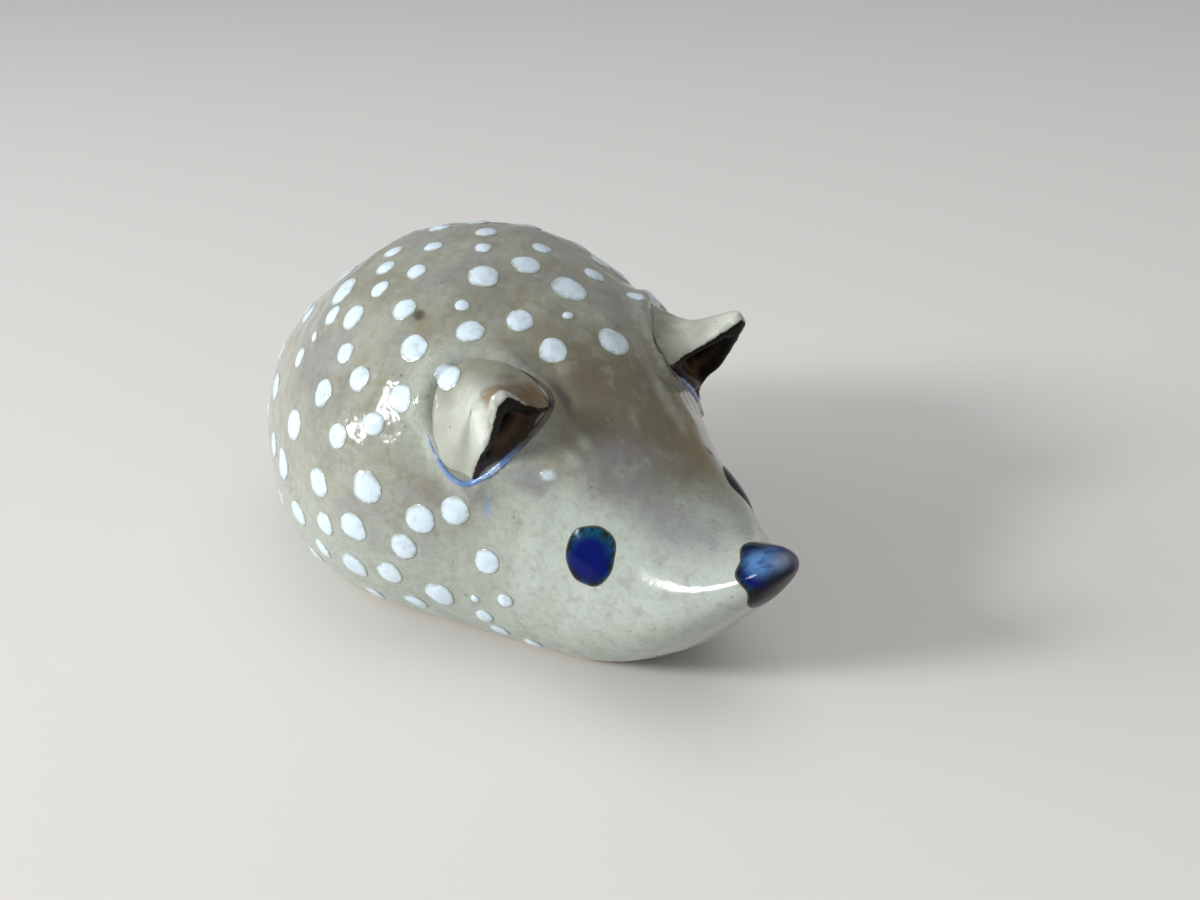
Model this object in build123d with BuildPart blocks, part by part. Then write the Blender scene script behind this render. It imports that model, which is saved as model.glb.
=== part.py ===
from build123d import *
from math import cos, radians, sin
import os

# Hedgehog figurine of glazed pottery, standing on its flat foot.
# +X is where the snout points, +Y is the hedgehog's own left, +Z is up.
# The origin is on the foot, below the middle of the whole figurine.

# Driving sizes, in millimetres
body_length = 56.0
body_width = 33.6
body_height = 28.7
wall = 4.0
foot_edge_radius = 0.8
vent_diameter = 3.0
overrun = 1.0

# Glaze and slip, as they stand above the clay
nose_glaze = 0.35
nose_cap_radius = 4.2
pool_rise = 0.3
pool_width = 0.55
lining_thickness = 0.25
eye_radius = 2.1
eye_rise = 0.45
dot_radius = 1.1
dot_rise = 0.3

# Ears
ear_foot_depth = 7.6
ear_foot_half_width = 4.1
ear_foot_shift = 0.1
ear_height = 6.3
ear_tip_radius = 0.6
ear_tip_forward = 1.75
ear_tip_inward = 2.25
ear_root_depth = 2.5
ear_face_setback = 3.3
ear_sill_height = 0.15
ear_sill_fall = 0.45
ear_rim = 0.55
ear_scoop_depth = 2.2
ear_scoop_corner_radius = 0.4
ear_scoop_taper_angle = 26.0

# Body sections from rump to snout: place along the length, half width as a share of half the
# body's width, top and bottom as shares of its height. A bottom below zero is under the foot.
section_shares = [
    (0.0, 0.06, 0.455, 0.41),
    (0.005, 0.205, 0.515, 0.335),
    (0.02, 0.38, 0.585, 0.225),
    (0.05, 0.54, 0.66, 0.115),
    (0.10, 0.68, 0.74, 0.015),
    (0.17, 0.80, 0.83, -0.06),
    (0.25, 0.90, 0.93, -0.11),
    (0.33, 0.975, 0.985, -0.13),
    (0.41, 1.00, 1.00, -0.11),
    (0.50, 0.95, 0.965, -0.07),
    (0.56, 0.85, 0.92, -0.055),
    (0.62, 0.73, 0.865, -0.045),
    (0.69, 0.595, 0.775, -0.03),
    (0.74, 0.515, 0.69, 0.0),
    (0.79, 0.455, 0.605, 0.05),
    (0.85, 0.385, 0.52, 0.13),
    (0.90, 0.31, 0.485, 0.22),
    (0.94, 0.225, 0.488, 0.305),
    (0.97, 0.15, 0.503, 0.375),
    (0.99, 0.08, 0.508, 0.44),
    (1.0, 0.015, 0.50, 0.478),
]
# Height of the widest line of each section, between its bottom and its top
waist_share = 0.42

# Hollow: the sections that it runs through, and where its two ends close
hollow_shares = [0.10, 0.17, 0.25, 0.33, 0.41, 0.50, 0.56, 0.62, 0.69]
vent_share = 0.40

# Ear sections as shares of the ear: height, depth behind its face, half width, lean to the tip
ear_section_shares = [
    (0.0, 1.0, 1.0, 0.0),
    (0.12, 0.80, 0.84, 0.12),
    (0.3, 0.58, 0.68, 0.3),
    (0.6, 0.34, 0.43, 0.6),
    (0.85, 0.195, 0.24, 0.85),
]
ear_tip_round_share = 0.8
ear_face_share = 0.95
pool_gap_start_angle = 100.0
pool_gap_end_angle = 210.0

# Places of the ears and eyes: along the length, and degrees up from the side, seen from the end
ear_place_share = 0.616
ear_place_angle = 49.5
ear_turn_angle = 17.0
eye_place_share = 0.785
eye_place_angle = 31.0
# The left eye was set a little higher and nearer the snout than the right
left_eye_forward_share = 0.008
left_eye_raise_angle = 6.0

# Slip dots: place along the length, degrees up from the side (or over from the top, towards
# the right, on the crown and shoulders), and size as a share of the usual dot
crown_dot_shares = [
    (0.23, 24.0, 1.00),
    (0.25, 5.0, 1.10),
    (0.30, 32.0, 1.25),
    (0.32, 17.0, 0.80),
    (0.32, 3.0, 0.95),
    (0.34, -6.0, 0.85),
    (0.35, 23.0, 0.80),
    (0.37, -18.0, 1.00),
    (0.38, 29.0, 0.75),
    (0.38, 12.0, 0.70),
    (0.40, -1.0, 0.85),
    (0.41, 21.0, 0.80),
    (0.43, -27.0, 1.05),
    (0.44, 5.0, 0.60),
    (0.45, 31.0, 0.90),
    (0.47, -9.0, 0.75),
    (0.48, -27.0, 0.70),
    (0.49, 12.0, 1.15),
    (0.50, 0.0, 1.10),
    (0.51, 22.0, 0.50),
    (0.53, -18.0, 0.85),
]
shoulder_dot_shares = [
    (0.545, 26.0, 1.00),
    (0.56, -5.0, 1.35),
    (0.575, 14.0, 0.95),
    (0.57, -26.0, 0.65),
    (0.60, 2.0, 0.40),
    (0.63, 13.0, 1.00),
    (0.65, -6.0, 1.20),
]
flank_dot_shares = [
    (0.18, 26.0, 1.20),
    (0.19, 52.0, 1.00),
    (0.28, 38.0, 0.85),
    (0.30, 44.5, 0.40),
    (0.32, 51.0, 0.85),
    (0.33, 21.0, 1.20),
    (0.37, 52.0, 1.00),
    (0.39, 32.0, 1.10),
    (0.40, 43.0, 0.85),
    (0.45, 24.0, 0.90),
    (0.45, 39.0, 0.95),
    (0.50, 30.5, 0.85),
    (0.50, 52.0, 1.05),
    (0.52, 40.0, 1.00),
    (0.57, 51.0, 0.85),
]
hem_dot_shares = [
    (0.22, 8.0, 1.10),
    (0.26, -7.0, 0.95),
    (0.30, 8.0, 1.25),
    (0.35, -4.0, 1.05),
    (0.34, -20.0, 0.90),
    (0.40, -12.0, 0.90),
    (0.42, 9.5, 1.15),
    (0.43, -1.5, 0.95),
    (0.47, -13.0, 1.15),
    (0.46, -27.0, 0.90),
    (0.49, 1.0, 1.15),
    (0.51, 14.0, 1.25),
    (0.53, -12.0, 1.00),
    (0.54, -25.0, 0.90),
    (0.56, 0.0, 1.00),
    (0.58, 11.0, 1.15),
    (0.59, -17.0, 1.15),
    (0.62, 18.5, 1.10),
    (0.64, -14.0, 0.40),
    (0.64, -23.5, 0.70),
    (0.645, -33.0, 0.70),
    (0.66, 5.0, 0.95),
    (0.68, -10.5, 0.60),
    (0.68, -40.0, 0.70),
]
rump_dot_shares = [
    (0.08, -12.0, 1.00),
    (0.07, 17.0, 1.10),
    (0.09, 41.0, 1.05),
    (0.09, 68.0, 0.95),
    (0.07, 97.0, 1.10),
    (0.10, 123.0, 0.90),
    (0.08, 146.0, 1.10),
    (0.09, 172.0, 0.95),
    (0.08, 193.0, 1.00),
    (0.16, 73.0, 0.90),
    (0.16, 93.0, 1.10),
    (0.17, 111.0, 0.85),
    (0.018, 27.0, 0.90),
    (0.015, 98.0, 1.00),
    (0.018, 160.0, 0.85),
]
# The left side's dots follow the right side's, a little further back and higher up
left_shift_share = -0.012
left_turn_angle = 3.0

# Sizes worked out from those above
half_width = body_width / 2
clay_length = body_length - nose_glaze
clay_middle = -nose_glaze / 2


def along(length_share, growth=0):
    """Place on X of a share of the clay's length, on the form grown by the given thickness."""
    return clay_middle + (length_share - 1 / 2) * (clay_length + 2 * growth)


def section_sizes(length_share):
    """Half width, top and bottom of the body at a share of its length, between its sections."""
    for before, after in zip(section_shares, section_shares[1:]):
        if before[0] <= length_share <= after[0]:
            blend = (length_share - before[0]) / (after[0] - before[0])
            mixed = [a + (b - a) * blend for a, b in zip(before[1:], after[1:])]
            return mixed[0] * half_width, mixed[1] * body_height, mixed[2] * body_height
    raise ValueError("the share lies outside the body's sections")


def section_plane(length_share, height, growth=0):
    """Plane across the body, with its own X to the left side and its own Y up."""
    return Plane(origin=(along(length_share, growth), 0, height), x_dir=(0, 1, 0), z_dir=(1, 0, 0))


def section_sketch(length_share, growth, half_across, top, bottom):
    """One section: half an ellipse above its widest line and half an ellipse below."""
    waist = bottom + (top - bottom) * waist_share
    with BuildSketch(section_plane(length_share, waist, growth)) as section:
        with BuildLine():
            EllipticalCenterArc((0, 0), half_across, top - waist, start_angle=0, arc_size=180)
            EllipticalCenterArc((0, 0), half_across, waist - bottom, start_angle=180, arc_size=180)
        make_face()
    return section.sketch


def body_form(growth=0):
    """Outer form of the body, not yet cut flat, grown all over by the given thickness."""
    sections = []
    for row in section_shares:
        across, top, bottom = section_sizes(row[0])
        sections.append(section_sketch(row[0], growth, across + growth, top + growth, bottom - growth))
    with BuildPart() as form:
        loft(sections=sections)
    return form.part


def hollow_form():
    """Hollow inside the body, one wall in from its form and one wall up from its foot."""
    sections = []
    for share in hollow_shares:
        across, top, bottom = section_sizes(share)
        sections.append(section_sketch(share, 0, across - wall, top - wall, max(bottom, 0) + wall))
    with BuildPart() as form:
        loft(sections=sections)
    return form.part


def seat(skin, length_share, angle):
    """Point and outward direction on the skin, at degrees up from the left side, seen end on."""
    across, top, bottom = section_sizes(length_share)
    waist = bottom + (top - bottom) * waist_share
    start = Vector(along(length_share), 0, waist)
    outward = Vector(0, cos(radians(angle)), sin(radians(angle)))
    hits = [hit for hit in skin.find_intersection_points(Axis(start, outward))
            if (hit[0] - start).dot(outward) > 0]
    point, normal = max(hits, key=lambda hit: (hit[0] - start).length)
    if normal.dot(outward) < 0:
        normal = -normal
    return point, normal


def dome_radius(spot_radius, rise, ground_radius):
    """Radius of the ball whose cap has the given radius and rise on ground that curves away."""
    return 1 / (2 * rise / spot_radius**2 + 1 / ground_radius)


def clay_body():
    """Body cut flat to stand on its foot, with the foot's edge softened, still solid inside."""
    with BuildPart() as body:
        add(body_form())
        split(bisect_by=Plane.XY, keep=Keep.TOP)
        fillet(body.edges().group_by(Axis.Z)[0], foot_edge_radius)
    return body.part


def ear_plane(skin):
    """Plane on the skin at the right ear's foot: X where the ear faces, Z out of the head."""
    point, normal = seat(skin, ear_place_share, 180 - ear_place_angle)
    forward = (Vector(1, 0, 0) - normal * normal.X).normalized()
    facing = forward.rotate(Axis((0, 0, 0), normal), -ear_turn_angle)
    return Plane(origin=point, x_dir=facing, z_dir=normal)


def ear_face_plane(foot_plane):
    """Plane of the ear's open front, from the setback at its foot up to its tip."""
    low = Vector(ear_face_setback, 0, 0)
    high = Vector(ear_tip_forward + ear_tip_radius / 2, 0, ear_height)
    rising = high - low
    across = Vector(0, 1, 0)
    outward = across.cross(rising).normalized()
    origin = foot_plane.from_local_coords(low)
    x_dir = foot_plane.from_local_coords(low + across) - origin
    z_dir = foot_plane.from_local_coords(low + outward) - origin
    return Plane(origin=origin, x_dir=x_dir, z_dir=z_dir)


def ear_horn(foot_plane):
    """Thorn of clay on the foot plane, deep and wide at its foot, up to its rounded tip."""
    lean = ear_tip_forward - ear_face_setback
    shift = ear_tip_inward - ear_foot_shift
    with BuildPart() as horn:
        with BuildSketch(foot_plane.offset(-ear_root_depth)):
            with Locations((ear_face_setback, ear_foot_shift)):
                Ellipse(ear_foot_depth, ear_foot_half_width)
        extrude(amount=ear_root_depth)
        for height_share, depth_share, width_share, lean_share in ear_section_shares:
            middle = (ear_face_setback + lean_share * lean, ear_foot_shift + lean_share * shift)
            with BuildSketch(foot_plane.offset(height_share * ear_height)):
                with Locations(middle):
                    Ellipse(depth_share * ear_foot_depth, width_share * ear_foot_half_width)
        with BuildSketch(foot_plane.offset(ear_height)):
            with Locations((ear_tip_forward, ear_tip_inward)):
                Circle(ear_tip_radius)
        loft()
        tip_edge = horn.edges().sort_by(Axis(foot_plane.origin, foot_plane.z_dir))[-1]
        fillet(tip_edge, ear_tip_round_share * ear_tip_radius)
    return horn.part


def ear_front_cut(foot_plane):
    """What is taken off the thorn in front of its open face."""
    rise = ear_height + overrun
    lean_back = ear_face_setback - ear_tip_forward - ear_tip_radius / 2
    with BuildPart() as cut:
        with BuildSketch(Plane(foot_plane.origin, foot_plane.x_dir, -foot_plane.y_dir)):
            with BuildLine():
                Polyline(
                    (ear_face_setback, -ear_root_depth - overrun),
                    (ear_face_setback, 0),
                    (ear_face_setback - lean_back * rise / ear_height, rise),
                    (2 * ear_foot_depth, rise),
                    (2 * ear_foot_depth, -ear_root_depth - overrun),
                    close=True,
                )
            make_face()
        extrude(amount=2 * ear_foot_depth, both=True)
    return cut.part


def ear_scoop(face_plane, thickness=0):
    """Hollow of the ear behind its open face, smaller all over by the given thickness."""
    half_across = ear_face_share * ear_foot_half_width
    corners = [
        (ear_foot_shift - half_across, ear_sill_height),
        (ear_foot_shift + half_across, ear_sill_height - ear_sill_fall),
        (ear_tip_inward, ear_height),
    ]
    with BuildPart() as scoop:
        with BuildSketch(face_plane) as outline:
            with BuildLine():
                Polyline(*corners, close=True)
            make_face()
            offset(amount=-ear_rim - thickness, kind=Kind.INTERSECTION)
            fillet(outline.vertices(), ear_scoop_corner_radius - thickness)
        extrude(amount=-(ear_scoop_depth - thickness), taper=ear_scoop_taper_angle)
    return scoop.part


def glaze_ring(foot_plane):
    """Band round the ear's foot, open where the ear runs smoothly into the back."""
    reach = 2 * ear_foot_depth
    with BuildPart() as ring:
        with BuildSketch(foot_plane.offset(-ear_root_depth)):
            with Locations((ear_face_setback, ear_foot_shift)):
                Ellipse(ear_foot_depth + pool_width, ear_foot_half_width + pool_width)
            with Locations((ear_face_setback + pool_width, 0)):
                Rectangle(reach, reach, align=(Align.MIN, Align.CENTER), mode=Mode.SUBTRACT)
            with BuildLine():
                Polyline(
                    (0, 0),
                    (reach * cos(radians(pool_gap_start_angle)),
                     reach * sin(radians(pool_gap_start_angle))),
                    (-reach, 0),
                    (reach * cos(radians(pool_gap_end_angle)),
                     reach * sin(radians(pool_gap_end_angle))),
                    close=True,
                )
            make_face(mode=Mode.SUBTRACT)
        extrude(amount=2 * ear_root_depth)
    return ring.part


def spot(skin, length_share, angle, radius, rise):
    """Half ball whose cap stands on the skin as a round spot of the given radius and rise."""
    point, normal = seat(skin, length_share, angle)
    ball = dome_radius(radius, rise, half_width)
    with BuildPart(Plane(origin=point + normal * (rise - ball), z_dir=normal)) as half_ball:
        Sphere(ball, arc_size1=0, align=(Align.CENTER, Align.CENTER, Align.MIN))
    return half_ball.part


# Clay body, hollow, with its vent in the foot
body_solid = body_form()
body_skin = body_solid.shell()

with BuildPart() as body_shell:
    add(clay_body())
    add(hollow_form(), mode=Mode.SUBTRACT)
    with BuildSketch(Plane.XY):
        with Locations((along(vent_share), 0)):
            Circle(vent_diameter / 2)
    extrude(amount=wall + overrun, mode=Mode.SUBTRACT)

# Ears, each a thorn of clay with its front cut away and scooped out
foot_plane = ear_plane(body_skin)
face_plane = ear_face_plane(foot_plane)

with BuildPart() as horn:
    add(ear_horn(foot_plane))
    add(ear_front_cut(foot_plane), mode=Mode.SUBTRACT)

with BuildPart() as right_ear:
    add(horn.part)
    add(ear_scoop(face_plane), mode=Mode.SUBTRACT)
    add(body_solid, mode=Mode.SUBTRACT)

with BuildPart() as left_ear:
    mirror(right_ear.part, about=Plane.XZ)

# Dark slip inside the ears
with BuildPart() as right_ear_lining:
    add(ear_scoop(face_plane))
    add(ear_scoop(face_plane, lining_thickness), mode=Mode.SUBTRACT)

with BuildPart() as left_ear_lining:
    mirror(right_ear_lining.part, about=Plane.XZ)

# Glaze pooled round the ears' feet
with BuildPart() as right_ear_glaze_pool:
    add(glaze_ring(foot_plane))
    add(body_form(pool_rise), mode=Mode.INTERSECT)
    add(body_solid, mode=Mode.SUBTRACT)
    add(horn.part, mode=Mode.SUBTRACT)

with BuildPart() as left_ear_glaze_pool:
    mirror(right_ear_glaze_pool.part, about=Plane.XZ)

# Eyes and nose
with BuildPart() as right_eye:
    add(spot(body_skin, eye_place_share, 180 - eye_place_angle, eye_radius, eye_rise))
    add(body_solid, mode=Mode.SUBTRACT)

with BuildPart() as left_eye:
    left_eye_share = eye_place_share + left_eye_forward_share
    left_eye_angle = eye_place_angle + left_eye_raise_angle
    add(spot(body_skin, left_eye_share, left_eye_angle, eye_radius, eye_rise))
    add(body_solid, mode=Mode.SUBTRACT)

snout_end = seat(body_skin, section_shares[-1][0], 90)[0]
with BuildPart() as nose_tip:
    with Locations(snout_end):
        Sphere(nose_cap_radius)
    add(body_form(nose_glaze), mode=Mode.INTERSECT)
    add(body_solid, mode=Mode.SUBTRACT)

# Slip dots, seated on the body and on the ears' backs
with BuildPart() as clay:
    add(body_solid)
    add(horn.part)
    mirror(horn.part, about=Plane.XZ)
clay_skin = clay.part.shell()

dot_places = {
    "crown_slip_dots": [(share, 90 + tilt, size) for share, tilt, size in crown_dot_shares],
    "shoulder_slip_dots": [(share, 90 + tilt, size) for share, tilt, size in shoulder_dot_shares],
    "right_flank_slip_dots": [(share, 180 - rise, size) for share, rise, size in flank_dot_shares],
    "right_hem_slip_dots": [(share, 180 - rise, size) for share, rise, size in hem_dot_shares],
    "left_flank_slip_dots": [(share + left_shift_share, rise + left_turn_angle, size)
                             for share, rise, size in flank_dot_shares],
    "left_hem_slip_dots": [(share + left_shift_share, rise + left_turn_angle, size)
                           for share, rise, size in hem_dot_shares],
    "rump_slip_dots": rump_dot_shares,
}

pieces = {
    "body_shell": body_shell.part,
    "left_ear": left_ear.part,
    "right_ear": right_ear.part,
    "left_ear_lining": left_ear_lining.part,
    "right_ear_lining": right_ear_lining.part,
    "left_ear_glaze_pool": left_ear_glaze_pool.part,
    "right_ear_glaze_pool": right_ear_glaze_pool.part,
    "left_eye": left_eye.part,
    "right_eye": right_eye.part,
    "nose_tip": nose_tip.part,
}
for name, places in dot_places.items():
    spots = [spot(clay_skin, share, angle, size * dot_radius, size * dot_rise)
             for share, angle, size in places]
    with BuildPart() as dots:
        add(spots)
        add(clay.part, mode=Mode.SUBTRACT)
        add([right_ear_glaze_pool.part, left_ear_glaze_pool.part], mode=Mode.SUBTRACT)
    pieces[name] = dots.part

# Write each piece to its own file
os.makedirs("parts", exist_ok=True)
for name, piece in pieces.items():
    piece.label = name
    export_step(piece, f"parts/{name}.step")
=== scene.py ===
import math

import bmesh
import bpy
import numpy as np
from bpy.props import FloatProperty, FloatVectorProperty, IntProperty, PointerProperty
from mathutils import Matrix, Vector, noise
from mathutils.bvhtree import BVHTree


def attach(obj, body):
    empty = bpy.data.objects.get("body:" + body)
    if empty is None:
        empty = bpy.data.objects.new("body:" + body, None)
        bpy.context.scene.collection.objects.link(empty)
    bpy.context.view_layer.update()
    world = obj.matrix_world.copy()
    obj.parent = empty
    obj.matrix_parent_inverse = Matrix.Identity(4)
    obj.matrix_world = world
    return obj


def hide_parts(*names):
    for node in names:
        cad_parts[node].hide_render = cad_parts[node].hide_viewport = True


bl_info = {
    "name": "Glazed Hedgehog",
    "version": (1, 0, 0),
    "blender": (4, 5, 0),
    "location": "3D View > Sidebar > Hedgehog",
    "description": "Dresses the hedgehog figurine in glazed clay, white slip dots and cobalt",
    "category": "Object",
}

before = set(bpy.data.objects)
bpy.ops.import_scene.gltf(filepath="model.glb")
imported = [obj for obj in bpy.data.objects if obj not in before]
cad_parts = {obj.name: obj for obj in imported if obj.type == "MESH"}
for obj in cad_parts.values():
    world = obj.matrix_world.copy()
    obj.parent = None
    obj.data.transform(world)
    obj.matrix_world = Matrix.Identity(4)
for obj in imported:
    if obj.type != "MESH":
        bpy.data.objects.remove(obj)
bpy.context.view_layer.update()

# Mesh work is done in millimetres and turned to metres when a piece is finished.
MM = 0.001
SIDES = {"right": 1, "left": -1}
CLAY_NODES = ("body_shell", "right_ear", "left_ear")
DRESSED_CLAY = ("glazed_body", "right_pinched_ear", "left_pinched_ear")
DOT_GROUPS = ("crown_slip_dots", "shoulder_slip_dots", "right_flank_slip_dots",
              "right_hem_slip_dots", "left_flank_slip_dots", "left_hem_slip_dots",
              "rump_slip_dots")

# Place of the vent along the foot, and how far round it a ray from below may pass through.
VENT_X = -5.74
VENT_REACH = 1.7

# Heights of the body's two end points.
RUMP_HEIGHT = 12.4
SNOUT_HEIGHT = 14.2

# Grain of the ears' even mesh, and how far cobalt stands clear of the skin and reaches into it.
EAR_MESH_GRAIN = 0.1
COBALT_CLEARANCE = 0.02
COBALT_ROOT = 0.3

# Length of the rays that look for the skin below a point.
RAY_LENGTH = 9

# Hills and hollows pressed into the body: middle, reach and height.
BODY_MARKS = (
    ((14.2, -1.2, 19.2), (4.5, 3.6, 4.0), -0.22),
    ((13.2, 4.4, 18.8), (4.0, 1.3, 3.0), 0.16),
    ((18.8, -1.5, 15.0), (3.2, 2.6, 2.6), -0.16),
    ((16.5, -8.0, 9.0), (4.5, 2.5, 3.6), 0.12),
    ((16.5, 8.0, 9.0), (4.5, 2.5, 3.6), 0.12),
    ((8.2, -4.2, 23.2), (2.2, 0.8, 1.8), -0.16),
    ((17.8, 6.2, 13.6), (3.0, 2.2, 3.0), 0.55),
    ((11.4, -7.35, 16.9), (0.45, 0.36, 0.36), 0.24),
    ((11.8, -6.9, 17.3), (0.4, 0.36, 0.36), 0.16),
    ((12.6, -5.7, 18.0), (1.1, 0.3, 0.4), 0.2),
    ((12.0, -4.6, 18.9), (1.3, 0.3, 0.4), 0.16),
    ((24.6, 1.0, 14.6), (2.8, 1.9, 1.6), 0.4),
)

# Angle about the snout's end, from its left side over its top, and the cobalt's reach there.
NOSE_REACH_SHARES = (
    (0, 0.84), (40, 0.88), (72, 1.05), (96, 1.03), (120, 0.90), (141, 0.80), (154, 0.86),
    (166, 0.89), (176, 0.86), (186, 0.78), (200, 0.76), (222, 0.98), (262, 1.10), (280, 1.06),
    (312, 0.80), (338, 0.72), (360, 0.84),
)

# Patches of glaze on the body, and one of painted shade beside the right ear, in the order in which
# they are laid:
# colour, middle, reach, softness, raggedness, grain and strength.
BODY_PATCHES = (
    ("cream", (5.4, -9.6, 20.2), (5.4, 4.4, 4.6), 0.5, 0.6, 300.0, 0.45),
    ("cream", (5.4, 9.6, 20.2), (5.4, 4.4, 4.6), 0.5, 0.6, 300.0, 0.45),
    ("umber", (13.4, -0.6, 20.2), (7.4, 5.6, 5.4), 0.4, 0.7, 260.0, 0.8),
    ("umber", (7.6, -2.4, 24.6), (3.6, 3.0, 3.0), 0.5, 0.8, 320.0, 0.5),
    ("lilac", (14.9, -3.4, 17.4), (3.4, 2.8, 2.4), 0.6, 0.7, 420.0, 0.6),
    ("lilac", (19.4, -2.4, 14.4), (4.4, 2.0, 1.8), 0.6, 0.7, 420.0, 0.6),
    ("ochre", (15.5, 3.4, 17.4), (6.0, 1.5, 3.4), 0.6, 0.5, 380.0, 0.7),
    ("cream", (12.9, 3.0, 20.0), (3.4, 0.6, 2.0), 0.6, 0.8, 500.0, 0.35),
    ("cream", (22.4, -3.2, 13.6), (2.2, 1.6, 1.2), 0.6, 0.7, 500.0, 0.5),
    ("pool", (8.4, -10.5, 14.4), (0.3, 0.5, 1.0), 0.7, 0.7, 700.0, 0.5),
    ("pool", (22.2, -1.2, 14.2), (0.9, 0.3, 0.3), 0.7, 0.8, 700.0, 0.5),
    ("lilac", (10.6, -8.2, 16.4), (1.8, 1.4, 0.8), 0.6, 0.6, 700.0, 0.6),
    ("cream", (12.6, -5.7, 18.0), (1.2, 0.4, 0.45), 0.6, 0.9, 700.0, 0.5),
    ("cream", (12.0, -4.6, 18.9), (1.4, 0.4, 0.45), 0.6, 0.9, 700.0, 0.4),
    # Painted shade in the corner at the inner front of the right ear's foot.
    ("pitch", (9.4, -4.5, 21.6), (1.6, 0.5, 1.4), 0.7, 0.8, 700.0, 0.55),
    ("slip", (11.5, -7.3, 17.0), (0.5, 0.42, 0.34), 0.5, 0.8, 900.0, 0.7),
    ("pitch", (-1.6, -8.8, 25.3), (0.5, 0.4, 0.5), 0.6, 0.3, 900.0, 0.7),
    ("pitch", (15.0, 4.9, 16.4), (0.3, 0.35, 0.5), 0.5, 0.3, 900.0, 0.85),
)

COOL = (0.94, 0.97, 1.0)
WARM = (1.0, 0.98, 0.95)

# Lamps: place, height of the target, size, power, colour, whether mirrored, cone in degrees.
LAMPS = (
    ("side_window", (-0.07, -0.48, 0.26), 0.012, (0.11, 0.10), 0.8, COOL, True, 120),
    ("top_softbox", (0.05, 0.08, 0.55), 0, (0.5, 0.5), 0.9, WARM, False, 180),
    ("side_sky", (-0.32, -0.40, 0.16), 0.012, (0.40, 0.26), 0.45, COOL, False, 120),
    ("low_window", (-0.22, -0.44, 0.12), 0.012, (0.11, 0.08), 0.28, COOL, True, 120),
)


def painted(red, green, blue):
    """Colour as it is seen, 0 to 255, turned to the linear values that materials hold."""
    values = []
    for part in (red, green, blue):
        share = part / 255
        values.append(share / 12.92 if share <= 0.04045 else ((share + 0.055) / 1.055) ** 2.4)
    return tuple(values)


def length(name, description, default):
    """A size in metres, given here in millimetres."""
    return FloatProperty(name=name, description=description, default=default * MM, min=0,
                         precision=5, subtype="DISTANCE", unit="LENGTH")


def place(name, description, point):
    """A place or direction on the figurine, in millimetres."""
    return FloatVectorProperty(name=name, description=description, default=point, size=3,
                               subtype="XYZ")


def colour(name, description, red, green, blue):
    """A colour, given as it is seen."""
    return FloatVectorProperty(name=name, description=description, size=3, min=0, max=1,
                               default=painted(red, green, blue), subtype="COLOR")


class HedgehogForm(bpy.types.PropertyGroup):
    """Sizes of the clay"""

    rings: IntProperty(name="Rings", description="Rings of the body's mesh, rump to snout",
                       default=300, min=40, max=420)
    spokes: IntProperty(name="Spokes", description="Points round each ring", default=264,
                        min=48, max=320)
    pinch: length("Pinch marks", "Depth of the soft hollows left by fingers", 0.18)
    ripple: length("Ripple", "Depth of the small waves in the skin", 0.08)
    back_sweep: length("Back sweep", "Reach of the curve from the back up into an ear", 3.0)
    side_sweep: length("Side sweep", "Reach of the curve beside an ear", 1.3)
    face_sweep: length("Face sweep", "Reach of the curve below an ear's opening", 0.35)
    ear_corner: length("Ear corner", "How far the corners of an ear's foot are rounded in", 0.7)
    ear_crease: length("Ear crease", "Depth of the line where an ear's clay was pressed on", 0.14)
    ear_grain: length("Ear grain", "Depth of the finger marks on the ears", 0.07)
    vent_width: length("Vent", "Width of the hole in the foot", 3.0)
    vent_depth: length("Vent depth", "How deep the hole is shown", 3.6)
    ear_foot: place("Ear foot", "Middle of the right ear's foot", (6.28, -8.98, 20.22))
    ear_out: place("Ear direction", "Direction in which the right ear stands",
                   (0.5155, -0.6770, 0.5253))
    ear_facing: place("Ear facing", "Direction in which the right ear opens",
                      (0.8194, 0.2103, -0.5332))
    ear_foot_depth: length("Ear foot depth", "Depth of an ear's foot behind its face", 7.6)
    ear_foot_half_width: length("Ear foot width", "Half the width of an ear's foot", 4.1)
    ear_foot_shift: length("Ear foot shift", "How far an ear's foot lies to its inner side", 0.1)
    ear_swell_share: FloatProperty(name="Ear swell", default=0.14, min=0, max=0.5,
                                   description="How much wider an ear's foot is on its outer side")
    ear_face_setback: length("Ear face", "Distance of an ear's open face from its middle", 3.3)


class HedgehogGlaze(bpy.types.PropertyGroup):
    """Sizes of what is laid on the clay"""

    dot_rise: length("Dot rise", "Height of the slip dots", 0.15)
    dot_root: length("Dot root", "How far the slip dots reach into the clay", 0.3)
    dot_wobble: length("Dot wobble", "How uneven the outline of a slip dot is", 0.42)
    dot_wobble_scale: FloatProperty(name="Wobble size", default=700, min=1,
                                    description="How close together the bays of an outline are")
    dot_corners: IntProperty(name="Dot corners", description="Points round a slip dot",
                             default=40, min=8, max=64)
    dot_rings: IntProperty(name="Dot rings", description="Rings of a slip dot", default=12,
                           min=4, max=32)
    eye_rise: length("Eye rise", "Height of the cobalt of an eye", 0.16)
    eye_radius: length("Eye radius", "Half the height of an eye", 2.16)
    eye_width_share: FloatProperty(name="Eye width", description="Width of an eye for its height",
                                   default=0.86, min=0.2, max=2)
    left_eye_shift: place("Left eye shift", "How far the left eye's cobalt ran up and forward",
                          (0.4, -0.45, 0.35))
    nose_rise: length("Nose rise", "Height of the cobalt of the nose", 0.2)
    nose_reach: length("Nose reach", "Distance that the cobalt covers from the snout's end", 4.15)
    pool_width: length("Pool width", "Half the width of the glaze pooled round an ear", 0.27)
    lining_rise: length("Lining rise", "Thickness of the dark slip in an ear", 0.08)


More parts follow.
